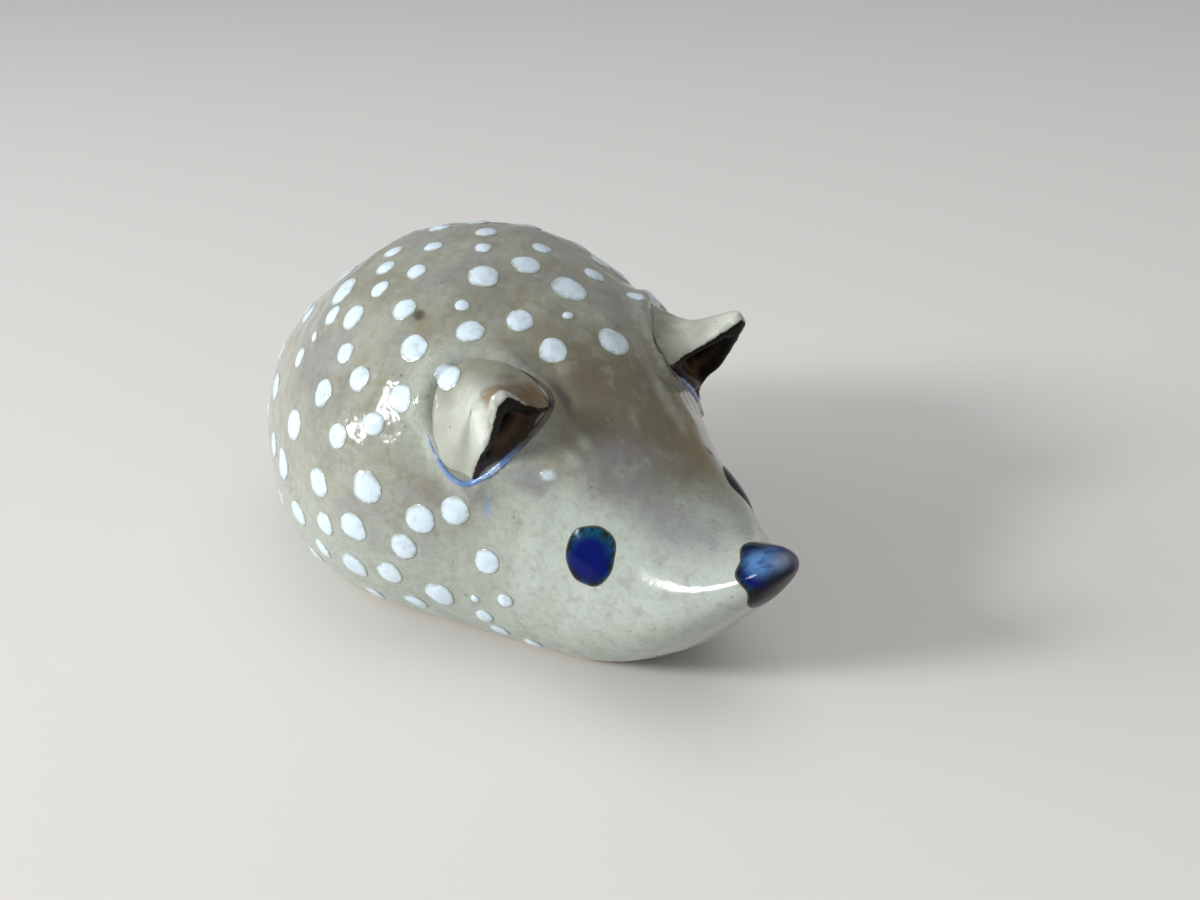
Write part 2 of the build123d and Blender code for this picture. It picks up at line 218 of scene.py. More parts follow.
class HedgehogColours(bpy.types.PropertyGroup):
    """Colours of the glazes and slips"""

    stone: colour("Stone", "Glaze over the back", 149, 151, 137)
    cream: colour("Cream", "Glaze over cheeks, chin and hem", 172, 180, 170)
    # Umber is also painted shade in the pools' inner corners.
    umber: colour("Umber", "Glaze over the forehead", 98, 89, 66)
    ochre: colour("Ochre", "Thin glaze on ridges", 122, 106, 70)
    amber: colour("Amber", "Thin glaze on the rims of the ears", 108, 84, 50)
    lilac: colour("Lilac", "Grey cast where the glaze is thick", 128, 127, 132)
    ear_cream: colour("Ear cream", "Glaze over the backs of the ears", 202, 205, 194)
    iron: colour("Iron", "Iron specks", 92, 58, 34)
    biscuit: colour("Biscuit", "Bare clay of the foot", 184, 164, 134)
    slip: colour("White slip", "Slip dots", 203, 218, 227)
    cobalt: colour("Cobalt", "Eyes and nose", 4, 17, 86)
    sky: colour("Light cobalt", "Thin cobalt on the nose", 82, 122, 166)
    teal: colour("Teal", "Edge of the cobalt", 18, 74, 92)
    # Pitch is also painted shade: on the left eye, under the nose, beside the right ear, in the ear
    # hollows and in the pools' inner corners.
    pitch: colour("Pitch", "Iron black of thick slip", 20, 20, 18)
    bark: colour("Bark", "Brown floor of the ears", 100, 78, 58)
    pool: colour("Pool", "Blue glaze pooled round the ears", 106, 136, 186)
    floor: colour("Floor", "Studio floor", 222, 219, 214)


# Meshes

def read_solid(node):
    """Corners in millimetres and triangles of a CAD node, with doubled corners merged."""
    copy = bmesh.new()
    copy.from_mesh(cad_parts[node].data)
    bmesh.ops.remove_doubles(copy, verts=copy.verts, dist=1e-7)
    copy.verts.ensure_lookup_table()
    points = np.array([v.co for v in copy.verts], float) / MM
    faces = [[v.index for v in f.verts] for f in copy.faces]
    copy.free()
    return points, faces


def surface_tree(points, faces):
    """Tree for rays and nearest points on a surface given in millimetres."""
    return BVHTree.FromPolygons([tuple(p) for p in points], [tuple(f) for f in faces])


def first_hit(tree, start, direction):
    """Where a ray meets a surface; a ray that slips between two faces is sent again beside it."""
    for aside in (0.0, 0.003, -0.003, 0.01, -0.01):
        hit = tree.ray_cast(start + Vector((aside, 0.7 * aside, 0.4 * aside)), direction)[0]
        if hit is not None:
            return hit
    raise RuntimeError(f"no surface is met from {tuple(start)}")


def added(name, data):
    """New object in the scene."""
    made = bpy.data.objects.new(name, data)
    bpy.context.scene.collection.objects.link(made)
    return made


def plain_mesh(name, points, faces=()):
    """Mesh of the given corners and faces."""
    mesh = bpy.data.meshes.new(name)
    mesh.from_pydata([tuple(p) for p in points], [], [tuple(f) for f in faces])
    return mesh


def store(mesh, label, kind, values):
    """Stores a number or a direction for each corner of a mesh."""
    layer = mesh.attributes.new(label, kind, "POINT")
    part = "vector" if kind == "FLOAT_VECTOR" else "value"
    layer.data.foreach_set(part, np.asarray(values, np.float32).ravel())


def turned_outwards(mesh, merged=False):
    """Turns a mesh's faces outwards, after doubled corners are merged if that is wanted."""
    work = bmesh.new()
    work.from_mesh(mesh)
    if merged:
        bmesh.ops.remove_doubles(work, verts=work.verts, dist=1e-9)
    bmesh.ops.recalc_face_normals(work, faces=work.faces)
    work.to_mesh(mesh)
    work.free()


def new_piece(name, points, faces, material, attributes=None):
    """Smooth object from corners in millimetres, faces outwards."""
    mesh = plain_mesh(name, np.asarray(points, float) * MM, faces)
    mesh.update()
    for label, values in (attributes or {}).items():
        store(mesh, label, "FLOAT", values)
    turned_outwards(mesh)
    mesh.shade_smooth()
    piece = added(name, mesh)
    piece.data.materials.append(material)
    return piece


def settle(piece, nodes):
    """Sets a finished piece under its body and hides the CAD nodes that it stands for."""
    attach(piece, "root")
    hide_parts(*nodes)
    return piece


def made_once(kept, builder, name):
    """What is kept under a name, built at its first use."""
    return kept.get(name) or builder(name)


def corner_normals(points, faces):
    """Outward directions at the corners of a surface, by area."""
    triangles = []
    for f in faces:
        triangles.append(f[:3])
        if len(f) == 4:
            triangles.append((f[0], f[2], f[3]))
    triangles = np.array(triangles)
    a, b, c = (points[triangles[:, k]] for k in range(3))
    across = np.cross(b - a, c - a)
    normals = np.zeros_like(points)
    for k in range(3):
        np.add.at(normals, triangles[:, k], across)
    return normals / np.maximum(np.linalg.norm(normals, axis=1, keepdims=True), 1e-12)


def lumps(points, size, shift=0.0):
    """Soft hills and hollows of about the given size, between -1 and 1."""
    seat = Vector((shift, 3.1 * shift, -2.3 * shift))
    return np.array([noise.noise(Vector(p) / size + seat) for p in points])


def smooth_step(low, high, values):
    """0 below low, 1 above high, and a soft rise between."""
    share = np.clip((values - low) / (high - low), 0, 1)
    return share * share * (3 - 2 * share)


def fillet(apart, reach):
    """Rise of a rounded inner corner beside it, held level from where its two sides meet."""
    apart = np.clip(apart, 0.293 * reach, reach)
    return reach - np.sqrt(reach ** 2 - (reach - apart) ** 2)


def grid_faces(rows, around, start=0):
    """Quads between rings of corners that follow each other."""
    faces = []
    for row in range(rows - 1):
        for k in range(around):
            nxt = (k + 1) % around
            low = start + row * around
            faces.append((low + k, low + nxt, low + around + nxt, low + around + k))
    return faces


class Ear:
    """Own directions of one ear: x where it faces, y across, z out of the head"""

    def __init__(self, side):
        form = bpy.context.scene.hedgehog_form
        turned = np.array([1, SIDES[side], 1])
        self.foot = np.array(form.ear_foot) * turned
        self.out = np.array(form.ear_out) * turned
        self.facing = np.array(form.ear_facing) * turned
        self.out /= np.linalg.norm(self.out)
        self.across = np.cross(self.out, self.facing) * SIDES[side]
        self.depth = form.ear_foot_depth / MM
        self.half = form.ear_foot_half_width / MM
        self.shift = form.ear_foot_shift / MM
        self.setback = form.ear_face_setback / MM
        self.outer_half = self.half * (1 + form.ear_swell_share)

    def local(self, points):
        """Points in the ear's own directions, from the middle of its foot."""
        shifted = np.asarray(points) - self.foot
        return np.stack([shifted @ self.facing, shifted @ self.across, shifted @ self.out], -1)

    def foot_distance(self, points):
        """Distance from the ear's foot along the head, where round it a point is, and its height."""
        own = self.local(points)
        half = np.where(own[:, 1] > self.shift, self.half, self.outer_half)
        back, side = (own[:, 0] - self.setback) / self.depth, (own[:, 1] - self.shift) / half
        share = np.hypot(back, side)
        steep = np.maximum(np.hypot(back / self.depth, side / half), 1e-6)
        ring = (share - 1) * share / steep
        front = own[:, 0] - self.setback
        both = np.hypot(np.maximum(ring, 0), np.maximum(front, 0))
        distance = np.where((ring > 0) & (front > 0), both, np.maximum(ring, front))
        return distance, np.degrees(np.arctan2(own[:, 1], own[:, 0])) % 360, own[:, 2]

    def foot_point(self, angle, apart):
        """Point beside the foot's outline, in the plane of the foot."""
        along, across = math.cos(angle), math.sin(angle)
        half = self.half if across > 0 else self.outer_half
        a = (along / self.depth) ** 2 + (across / half) ** 2
        b = along * self.setback / self.depth ** 2 + across * self.shift / half ** 2
        c = (self.setback / self.depth) ** 2 + (self.shift / half) ** 2 - 1
        oval = (b + math.sqrt(b * b - a * c)) / a
        straight = self.setback / along if along > 0.05 else 99.0
        power = 5.0 if across > 0 else 3.0
        reach = (oval ** -power + straight ** -power) ** (-1 / power) + apart
        return self.foot + reach * (along * self.facing + across * self.across)

    def sweep(self, angles):
        """Reach of the curve between head and ear: wide behind the ear, narrow below its face."""
        form = bpy.context.scene.hedgehog_form
        behind = smooth_step(75, 115, angles) * (1 - smooth_step(215, 245, angles))
        turned = (angles + 180) % 360 - 180
        beside = smooth_step(38, 58, np.abs(turned))
        wide = form.face_sweep + (form.side_sweep - form.face_sweep) * beside
        return (wide + (form.back_sweep - wide) * behind) / MM


def body_surface():
    """The body's skin as rings of corners and its two end points, with the vent closed over."""
    form = bpy.context.scene.hedgehog_form
    points, faces = read_solid("body_shell")
    tree = surface_tree(points, faces)
    low, high = points[:, 0].min(), points[:, 0].max()
    rings, spokes = form.rings, form.spokes
    far, below, end_gap = 50, -20, 0.03
    turn = np.linspace(0, 2 * math.pi, spokes, endpoint=False)
    angles = turn + 0.3 * np.cos(turn)
    skin = np.zeros((rings, spokes, 3))
    for row in range(rings):
        share = (1 - math.cos(math.pi * (row + 1) / (rings + 1))) / 2
        x = low + end_gap + (high - low - 2 * end_gap) * share
        crown = first_hit(tree, Vector((x, 0, far)), Vector((0, 0, -1))).z
        under = first_hit(tree, Vector((x, 0, below)), Vector((0, 0, 1))).z
        if abs(x - VENT_X) < VENT_REACH:
            under = 0.0
        middle = Vector((x, 0, under + 0.45 * (crown - under)))
        for k, angle in enumerate(angles):
            outward = Vector((0, math.cos(angle), math.sin(angle)))
            hit = first_hit(tree, middle + outward * far, -outward)
            if outward.z < 0 and hit.z > 0.02:
                at_floor = middle - outward * (middle.z / outward.z)
                if math.hypot(at_floor.x - VENT_X, at_floor.y) < VENT_REACH:
                    hit = at_floor
            skin[row, k] = hit
    ends = [np.array([low, 0, RUMP_HEIGHT]), np.array([high, 0, SNOUT_HEIGHT])]
    rump, snout = (np.repeat(end[None, None], spokes, 1) for end in ends)
    flat = skin[:, :, 2] < 0.005
    for _ in range(5):
        whole = np.concatenate([rump, skin, snout])
        skin = (whole[:-2] + 2 * skin + whole[2:]) / 4
        skin = (np.roll(skin, 1, 1) + 2 * skin + np.roll(skin, -1, 1)) / 4
        skin[:, :, 2] = np.where(flat, 0, np.maximum(skin[:, :, 2], 0))
    return ends, skin


def marked(points):
    """Height of the finger marks and of the face's planes at the body's corners."""
    form = bpy.context.scene.hedgehog_form
    before_snout = points[:, 0].max() - points[:, 0]
    clear = smooth_step(0.6, 4.0, points[:, 2])
    end_clear = smooth_step(0.2, 3.0, before_snout)
    snout_clear = smooth_step(3.0, 15.0, before_snout)
    lift = form.pinch / MM * lumps(points, 7.5, 4.0) * clear * end_clear
    lift += form.ripple / MM * lumps(points, 2.3, 11.0) * clear * snout_clear
    lift += 0.4 * form.ripple / MM * lumps(points, 1.1, 23.0) * clear * snout_clear
    for spot, reach, height in BODY_MARKS:
        away = ((points - np.array(spot)) / np.array(reach)) ** 2
        lift += height * np.exp(-away.sum(1))
    return lift


def shaped_body():
    """Body's corners and faces with finger marks, the face's planes and the sweep into the ears."""
    form = bpy.context.scene.hedgehog_form
    ends, skin = body_surface()
    rings, spokes = skin.shape[:2]
    points = np.concatenate([ends[0][None], skin.reshape(-1, 3), ends[1][None]])
    faces = grid_faces(rings, spokes, 1)
    last, last_ring = len(points) - 1, 1 + (rings - 1) * spokes
    for k in range(spokes):
        nxt = (k + 1) % spokes
        faces += [(0, 1 + nxt, 1 + k), (last, last_ring + k, last_ring + nxt)]
    # Taken from the reversed faces, which halves each quad along its other diagonal.
    normals = -corner_normals(points, [f[::-1] for f in faces])
    lift = marked(points)
    for side in SIDES:
        ear = Ear(side)
        distance, angle, out = ear.foot_distance(points)
        on_head = out > -6
        inside = np.clip(1 + np.minimum(distance, 0) / 0.8, 0, 1)
        lift += fillet(distance, ear.sweep(angle)) * inside * on_head * (np.abs(distance) < 6)
        pressed = smooth_step(44, 56, angle) * (1 - smooth_step(82, 104, angle)) * on_head
        lift -= form.ear_crease / MM * pressed * np.exp(-((distance - 1.0) / 0.2) ** 2)
    lift *= smooth_step(0.0, 1.2, points[:, 2])
    points = points + normals * lift[:, None]
    points[:, 2] = np.maximum(points[:, 2], 0)
    return points, faces


def make_body():
    """The glazed body, with the vent cut into its foot."""
    form = bpy.context.scene.hedgehog_form
    glaze = made_once(bpy.data.materials, body_glaze, "Stone Glaze")
    body = new_piece("glazed_body", *shaped_body(), glaze)
    bore = bmesh.new()
    bmesh.ops.create_cone(bore, cap_ends=True, segments=64, radius1=form.vent_width / 2,
                          radius2=form.vent_width / 2, depth=2 * form.vent_depth)
    bmesh.ops.translate(bore, verts=bore.verts, vec=(VENT_X * MM, 0, 0))
    bore_mesh = bpy.data.meshes.new("vent_bore")
    bore.to_mesh(bore_mesh)
    bore.free()
    cutter = added("vent_bore", bore_mesh)
    cut = body.modifiers.new("Vent", "BOOLEAN")
    cut.operation = "DIFFERENCE"
    cut.solver = "EXACT"
    cut.object = cutter
    finish_modifiers(body)
    body.data.shade_smooth()
    bpy.data.objects.remove(cutter)
    return settle(body, ["body_shell"])


def applied(piece):
    """Plain mesh of a piece with its modifiers."""
    evaluated = piece.evaluated_get(bpy.context.evaluated_depsgraph_get())
    return bpy.data.meshes.new_from_object(evaluated)


def finish_modifiers(piece):
    """Turns a piece and its modifiers into a plain mesh."""
    mesh = applied(piece)
    piece.modifiers.clear()
    piece.data = mesh


def mesh_arrays(mesh, unit=MM):
    """Corners of a mesh in the given unit, and its faces."""
    corners = np.zeros(len(mesh.vertices) * 3)
    mesh.vertices.foreach_get("co", corners)
    return corners.reshape(-1, 3) / unit, [tuple(p.vertices) for p in mesh.polygons]


def remeshed(points, faces, grain):
    """Even mesh of a solid, in millimetres."""
    copy = added("clay_copy", plain_mesh("clay_copy", points, faces))
    even = copy.modifiers.new("Even", "REMESH")
    even.mode = "VOXEL"
    even.voxel_size = grain
    result = applied(copy)
    arrays = mesh_arrays(result, 1)
    bpy.data.objects.remove(copy)
    bpy.data.meshes.remove(result)
    return arrays


def joined(parts):
    """Corners and faces of several surfaces as those of one."""
    points, faces = [], []
    for corners, own in parts:
        faces += [tuple(v + len(points) for v in f) for f in own]
        points += [tuple(p) for p in corners]
    return points, faces


def neighbours(faces):
    """Pairs of corners that share an edge."""
    pairs = {tuple(sorted((f[k - 1], f[k]))) for f in faces for k in range(len(f))}
    return np.array(sorted(pairs))


def relaxed(points, edges, passes, hold=None):
    """Corners moved towards the mean of their neighbours, as a wet finger softens an edge."""
    count = np.zeros(len(points))
    for k in (0, 1):
        np.add.at(count, edges[:, k], 1)
    count = np.maximum(count, 1)
    for _ in range(passes):
        total = np.zeros_like(points)
        np.add.at(total, edges[:, 0], points[edges[:, 1]])
        np.add.at(total, edges[:, 1], points[edges[:, 0]])
        moved = points + 0.5 * (total / count[:, None] - points)
        points = moved if hold is None else np.where(hold[:, None], points, moved)
    return points


def height_above(tree, points):
    """Distance of each point from a surface, below 0 where it is under it."""
    heights = []
    for p in points:
        near, facing, _, away = tree.find_nearest(Vector(p))
        heights.append(away if (Vector(p) - near).dot(facing) > 0 else -away)
    return np.array(heights)


def softened_ear(side, ear):
    """Even mesh of an ear with softened corners and rims, and its distance from the lining."""
    form = bpy.context.scene.hedgehog_form
    lining_tree = surface_tree(*read_solid(f"{side}_ear_lining"))
    points, faces = remeshed(*read_solid(f"{side}_ear"), EAR_MESH_GRAIN)
    edges = neighbours(faces)
    points = relaxed(points, edges, 5)
    own = ear.local(points)
    turned = np.degrees(np.arctan2(own[:, 1] - ear.shift, own[:, 0]))
    low = 1 - smooth_step(1.0, 5.5, own[:, 2])
    rounder = np.where(turned < 0, 1.6, 1.0)
    near_corner = np.exp(-((np.abs(turned) - 50) / (15 * rounder)) ** 2)
    pull = form.ear_corner / MM * near_corner * low * rounder
    points = points - (np.outer(np.cos(np.radians(turned)) * pull, ear.facing)
                       + np.outer(np.sin(np.radians(turned)) * pull, ear.across))
    own = ear.local(points)
    for margin in (0.0, 0.4, 0.8):
        corner = (own[:, 2] < 3.0 - margin) & (own[:, 0] > 1.0 + margin)
        corner &= np.abs(own[:, 1] - ear.shift) > 2.0 + 0.6 * margin
        points = relaxed(points, edges, 24, ~corner)
    depth = np.array([lining_tree.find_nearest(Vector(p))[3] for p in points])
    points = relaxed(points, edges, 26, depth > 0.75)
    own = ear.local(points)
    outer_side = np.minimum(own[:, 1] - ear.shift, 0) * (1 - smooth_step(1.0, 7.0, own[:, 2]))
    return points + np.outer(outer_side * form.ear_swell_share, ear.across), faces, edges, depth


def make_ear(side):
    """Ear with softened rims, swept into the back, and the dark slip that lines it."""
    form = bpy.context.scene.hedgehog_form
    ear = Ear(side)
    points, faces, edges, depth = softened_ear(side, ear)
    normals = corner_normals(points, faces)
    above = height_above(surface_tree(*read_solid("body_shell")), points)
    own = ear.local(points)
    outer = smooth_step(0.35, 0.9, depth)
    reach = ear.sweep(np.degrees(np.arctan2(own[:, 1], own[:, 0])) % 360)
    radial = points - ear.foot - np.outer(own[:, 2], ear.out)
    radial /= np.maximum(np.linalg.norm(radial, axis=1, keepdims=True), 1e-9)
    sideways = np.clip((normals * radial).sum(1), 0, 1)
    points = points + radial * (fillet(above, reach) * outer * sideways)[:, None]
    buried = (above < 0.12) & (normals @ ear.out < -0.2)
    points = points - ear.out * (0.5 * buried)[:, None]
    marks = lumps(points, 2.2, 7.0) + 0.4 * lumps(points, 0.9, 19.0)
    points = points + normals * (form.ear_grain / MM * marks * outer * (above > 0.3))[:, None]
    points = relaxed(points, edges, 2)
    own = ear.local(points)
    piece = new_piece(f"{side}_pinched_ear", points, faces,
                      made_once(bpy.data.materials, ear_glaze, "Ear Glaze"),
                      {"above": above, "behind": ear.setback - 0.25 * own[:, 2] - own[:, 0],
                       "across": own[:, 1], "height": own[:, 2],
                       "browned": np.full(len(points), 1.0 if side == "right" else 0.2)})
    settle(piece, [f"{side}_ear"])
    make_lining(side, ear, points, faces, depth)


def make_lining(side, ear, points, faces, depth):
    """Thin coat of dark slip over the ear's hollow, closed at its edge."""
    rise, root = bpy.context.scene.hedgehog_glaze.lining_rise / MM, 0.12
    own = ear.local(points)
    uneven = 0.10 * lumps(points, 0.8, 31.0)
    outward = corner_normals(points, faces)
    beside = smooth_step(0.4, 2.0, -own[:, 1]) * (1 - smooth_step(3.4, 4.8, own[:, 2]))
    opened = outward @ ear.facing > 0.8 - 0.35 * beside + uneven
    front = opened & (own[:, 0] > 1.2) & (own[:, 2] > -2.5)
    inside = (depth + uneven < 0.34) | front
    kept = [f for f in faces if all(inside[v] for v in f)]
    used = sorted({v for f in kept for v in f})
    index = {v: k for k, v in enumerate(used)}
    kept = [tuple(index[v] for v in f) for f in kept]
    base, normals, height = points[used], outward[used], own[used][:, 2]
    uses = {}
    for f in kept:
        for edge in zip(f, f[1:] + f[:1]):
            uses.setdefault(tuple(sorted(edge)), []).append(edge)
    rim = [found[0] for found in uses.values() if len(found) == 1]
    edges = np.array(sorted(uses))
    spans = np.linalg.norm(base[edges[:, 0]] - base[edges[:, 1]], axis=1)
    inward = np.full(len(base), 99.0)
    inward[[v for edge in rim for v in edge]] = 0.0
    for _ in range(60):
        for k in (0, 1):
            np.minimum.at(inward, edges[:, k], inward[edges[:, 1 - k]] + spans)
    top = base + normals * (0.015 + rise * smooth_step(0.0, 0.4, inward))[:, None]
    bottom = base - normals * root
    size = len(base)
    shell = kept + [tuple(v + size for v in reversed(f)) for f in kept]
    shell += [(a, a + size, b + size, b) for a, b in rim]
    piece = new_piece(f"{side}_ear_slip", np.concatenate([top, bottom]), shell,
                      made_once(bpy.data.materials, lining_slip, "Ear Slip"),
                      {"inward": np.tile(inward, 2), "height": np.tile(height, 2)})
    settle(piece, [f"{side}_ear_lining"])


def outer_tree():
    """Tree of the dressed body and ears, for what lies on them."""
    return surface_tree(*joined(mesh_arrays(bpy.data.objects[name].data) for name in DRESSED_CLAY))


def closed_patch(name, top, bottom, edge, spokes, material, node_name):
    """Joins the top and bottom of a patch of cobalt whose first corner is its middle."""
    size = len(top)
    rings = (size - 1) // spokes
    last = 1 + (rings - 1) * spokes
    steps = [(k, (k + 1) % spokes) for k in range(spokes)]
    faces = grid_faces(rings, spokes, 1) + [(0, 1 + nxt, 1 + k) for k, nxt in steps]
    under = [tuple(v + size for v in reversed(f)) for f in faces]
    wall = [(last + k, last + nxt, size + last + nxt, size + last + k) for k, nxt in steps]
    piece = new_piece(name, np.array(top + bottom), faces + under + wall, material,
                      {"edge": np.array(edge + edge)})
    return settle(piece, [node_name])


def make_eye(side):
    """Round patch of cobalt on a cheek, with an uneven outline, thinner towards its edge."""
    glaze = bpy.context.scene.hedgehog_glaze
    rise, radius, width = glaze.eye_rise / MM, glaze.eye_radius / MM, glaze.eye_width_share
    rings, spokes = 22, 72
    seat = read_solid(f"{side}_eye")[0].mean(0)
    if side == "left":
        seat = seat + np.array(glaze.left_eye_shift)
    body_tree = surface_tree(*read_solid("body_shell"))
    outward = np.array(body_tree.find_nearest(Vector(seat))[1])
    outward = outward / np.linalg.norm(outward)
    across = np.cross(outward, [0, 0, 1])
    across /= np.linalg.norm(across)
    up = np.cross(across, outward)
    corner = math.radians(135 if side == "right" else 45)
    tree = outer_tree()
    top, bottom, edge = [], [], []
    for row in range(rings + 1):
        share = row / rings
        for k in range(spokes if row else 1):
            angle = 2 * math.pi * k / spokes
            turned = angle - corner
            bulge = (1 + 0.018 * math.cos(3 * turned) + 0.02 * math.cos(4 * turned)
                     + 0.012 * math.cos(7 * angle + 1.0))
            aside = width * math.cos(angle) * across + math.sin(angle) * up
            start = Vector(seat + radius * bulge * share * aside + outward * 3)
            hit = np.array(tree.ray_cast(start, Vector(-outward), RAY_LENGTH)[0])
            top.append(hit + outward * (COBALT_CLEARANCE + rise * (1 - share ** 2.6)))
            bottom.append(hit - outward * COBALT_ROOT)
            edge.append(share)
    return closed_patch(f"{side}_cobalt_eye", top, bottom, edge, spokes,
                        made_once(bpy.data.materials, cobalt_eye, "Cobalt Eye"), f"{side}_eye")


def nose_paths(tree, middle, spokes):
    """For each direction from the snout's end, how far along the skin its points are."""
    ahead = np.array([4.9, 0, 3.0])
    ahead /= np.linalg.norm(ahead)
    left = np.array([0, 1, 0])
    up = np.cross(ahead, left)
    tip = np.array(tree.ray_cast(Vector(middle), Vector(ahead))[0])
    paths = []
    for angle in (2 * math.pi * k / spokes for k in range(spokes)):
        aside = math.cos(angle) * left + math.sin(angle) * up
        path = []
        for swing in np.linspace(0, 2.3, 110):
            direction = Vector(math.cos(swing) * ahead + math.sin(swing) * aside)
            path.append(np.array(tree.ray_cast(Vector(middle), direction)[0]))
        path = np.array(path)
        away = np.maximum.accumulate(np.linalg.norm(path - tip, axis=1))
        paths.append((away + np.arange(len(away)) * 1e-6, path))
    return paths


def make_nose():
    """Cap of cobalt over the end of the snout, thin and uneven at its edge."""
    glaze = bpy.context.scene.hedgehog_glaze
    rise, reach = glaze.nose_rise / MM, glaze.nose_reach / MM
    rings, spokes = 34, 96
    middle = np.array([22.8, 0, 11.2])
    paths = nose_paths(outer_tree(), middle, spokes)
    degrees = np.arange(360)
    outline = np.interp(degrees, *zip(*NOSE_REACH_SHARES))
    outline = np.mean([np.roll(outline, k) for k in range(-11, 12)], axis=0)
    top, bottom, edge = [], [], []
    for row in range(rings + 1):
        share = row / rings
        for k in range(spokes if row else 1):
            angle = math.degrees(2 * math.pi * k / spokes)
            limit = reach * float(np.interp(angle, degrees, outline, period=360))
            away, path = paths[k]
            spot = np.array([np.interp(share * limit, away, path[:, c]) for c in range(3)])
            outward = spot - middle
            outward /= np.linalg.norm(outward)
            top.append(spot + outward * (COBALT_CLEARANCE + rise * (1 - share ** 3)))
            bottom.append(spot - outward * COBALT_ROOT)
            edge.append(share)
    return closed_patch("cobalt_nose", top, bottom, edge, spokes,
                        made_once(bpy.data.materials, cobalt_nose, "Cobalt Nose"), "nose_tip")


def pool_line(ear, stations):
    """Points of the corner between head and ear, each with the head's direction and its angle."""
    body_tree = surface_tree(*mesh_arrays(bpy.data.objects["glazed_body"].data))
    start, end = math.radians(-118), math.radians(96)
    line = []
    for k in range(stations):
        angle = start + (end - start) * k / (stations - 1)
        apart = 0.12 + 0.28 * float(smooth_step(46, 66, abs(math.degrees(angle))))
        above = Vector(ear.foot_point(angle, apart) + ear.out * 3)
        hit, facing = body_tree.ray_cast(above, Vector(-ear.out), RAY_LENGTH)[:2]
        line.append((np.array(hit), np.array(facing), angle))
    return line


def make_pool(side):
    """Blue glaze pooled in the corner between the head and the ear's foot."""
    width = bpy.context.scene.hedgehog_glaze.pool_width / MM
    ear = Ear(side)
    stations, corners = 150, 14
    line = pool_line(ear, stations)
    points, travelled = [], []
    for k, (spot, facing, angle) in enumerate(line):
        along = line[min(k + 1, stations - 1)][0] - line[max(k - 1, 0)][0]
        along /= np.linalg.norm(along)
        outward = np.cross(along, facing)
        outward /= np.linalg.norm(outward)
        if outward @ (spot - ear.foot) < 0:
            outward = -outward
        up = np.cross(outward, along)
        if up @ facing < 0:
            up = -up
        share = k / (stations - 1)
        taper = math.sin(math.pi * share) ** 0.5 if 0 < share < 1 else 0.02
        swell = 1 + 0.3 * noise.noise(Vector(spot) / 1.3) + 0.25 * math.cos(angle) ** 2
        half = max(width * taper * swell, 0.03)
        for c in range(corners):
            turn = 2 * math.pi * c / corners
            points.append(spot + outward * (half * math.cos(turn) * 0.9 + half * 0.1)
                          + up * (half * 0.55 * math.sin(turn)))
        travelled += [share if side == "right" else 0.8 * share] * corners
    faces = grid_faces(stations, corners)
    first, final, base = len(points), len(points) + 1, (stations - 1) * corners
    for c in range(corners):
        nxt = (c + 1) % corners
        faces += [(first, c, nxt), (final, base + nxt, base + c)]
    points += [line[0][0], line[-1][0]]
    piece = new_piece(f"{side}_glaze_pool", np.array(points), faces,
                      made_once(bpy.data.materials, pooled_glaze, "Pooled Glaze"),
                      {"along": np.array(travelled + [0, 1])})
    return settle(piece, [f"{side}_ear_glaze_pool"])


# Node trees

def node(tree, kind, inputs=None, **values):
    """Adds a node with its properties and its inputs, each a value or a socket to link."""
    made = tree.nodes.new(kind)
    for label, value in values.items():
        setattr(made, label, value)
    for label, value in (inputs or {}).items():
        if isinstance(value, bpy.types.NodeSocket):
            tree.links.new(value, made.inputs[label])
        else:
            made.inputs[label].default_value = value
    return made


class Nodes:
    """Adds nodes to a tree and gives back the output that is wanted"""

    def __init__(self, tree):
        self.tree = tree

    def add(self, kind, inputs=None, output=0, **values):
        """One output of a new node."""
        return node(self.tree, kind, inputs, **values).outputs[output]

    def number(self, operation, *values):
        """Result of a sum on numbers."""
        return self.add("ShaderNodeMath", dict(enumerate(values)), operation=operation)

    def vector(self, operation, *values):
        """Result of a sum on vectors."""
        return self.add("ShaderNodeVectorMath", dict(enumerate(values)), operation=operation)

    def scaled(self, value, scale):
        """A vector made longer or shorter."""
        return self.add("ShaderNodeVectorMath", {0: value, "Scale": scale}, operation="SCALE")

    def size(self, value):
        """Length of a vector."""
        return self.add("ShaderNodeVectorMath", {0: value}, "Value", operation="LENGTH")

    def ramp(self, source, low, high, start=0.0, end=1.0):
        """Soft change from start to end as the source goes from low to high."""
        return self.add("ShaderNodeMapRange", {"Value": source, "From Min": low, "From Max": high,
                                               "To Min": start, "To Max": end},
                        "Result", interpolation_type="SMOOTHSTEP")

    def noise(self, vector, scale, detail, output="Fac", seed=None, **more):
        """Noise at a scale; with a seed it is one of many patterns."""
        inputs = {"Vector": vector, "Scale": scale, "Detail": detail, **more}
        if seed is None:
            return self.add("ShaderNodeTexNoise", inputs, output)
        return self.add("ShaderNodeTexNoise", {**inputs, "W": seed}, output, noise_dimensions="4D")


# Slip dots

def dot_seats(cad_node):
    """Middle, outward direction and radius of each dot of a CAD node, in millimetres."""
    points, faces = read_solid(cad_node)
    parent = list(range(len(points)))

    def root(v):
        while parent[v] != v:
            parent[v] = parent[parent[v]]
            v = parent[v]
        return v

    for f in faces:
        for v in f[1:]:
            parent[root(v)] = root(f[0])
    groups = {}
    for v in range(len(points)):
        groups.setdefault(root(v), []).append(v)
    tree = surface_tree(*joined(read_solid(clay) for clay in CLAY_NODES))
    seats = []
    for members in groups.values():
        middle = points[members].mean(0)
        outward = np.array(tree.find_nearest(Vector(middle))[1])
        flat = points[members] - middle
        flat = flat - np.outer(flat @ outward, outward)
        seats.append((middle, outward, float(np.linalg.norm(flat, axis=1).max())))
    return sorted(seats, key=lambda seat: tuple(seat[0]))


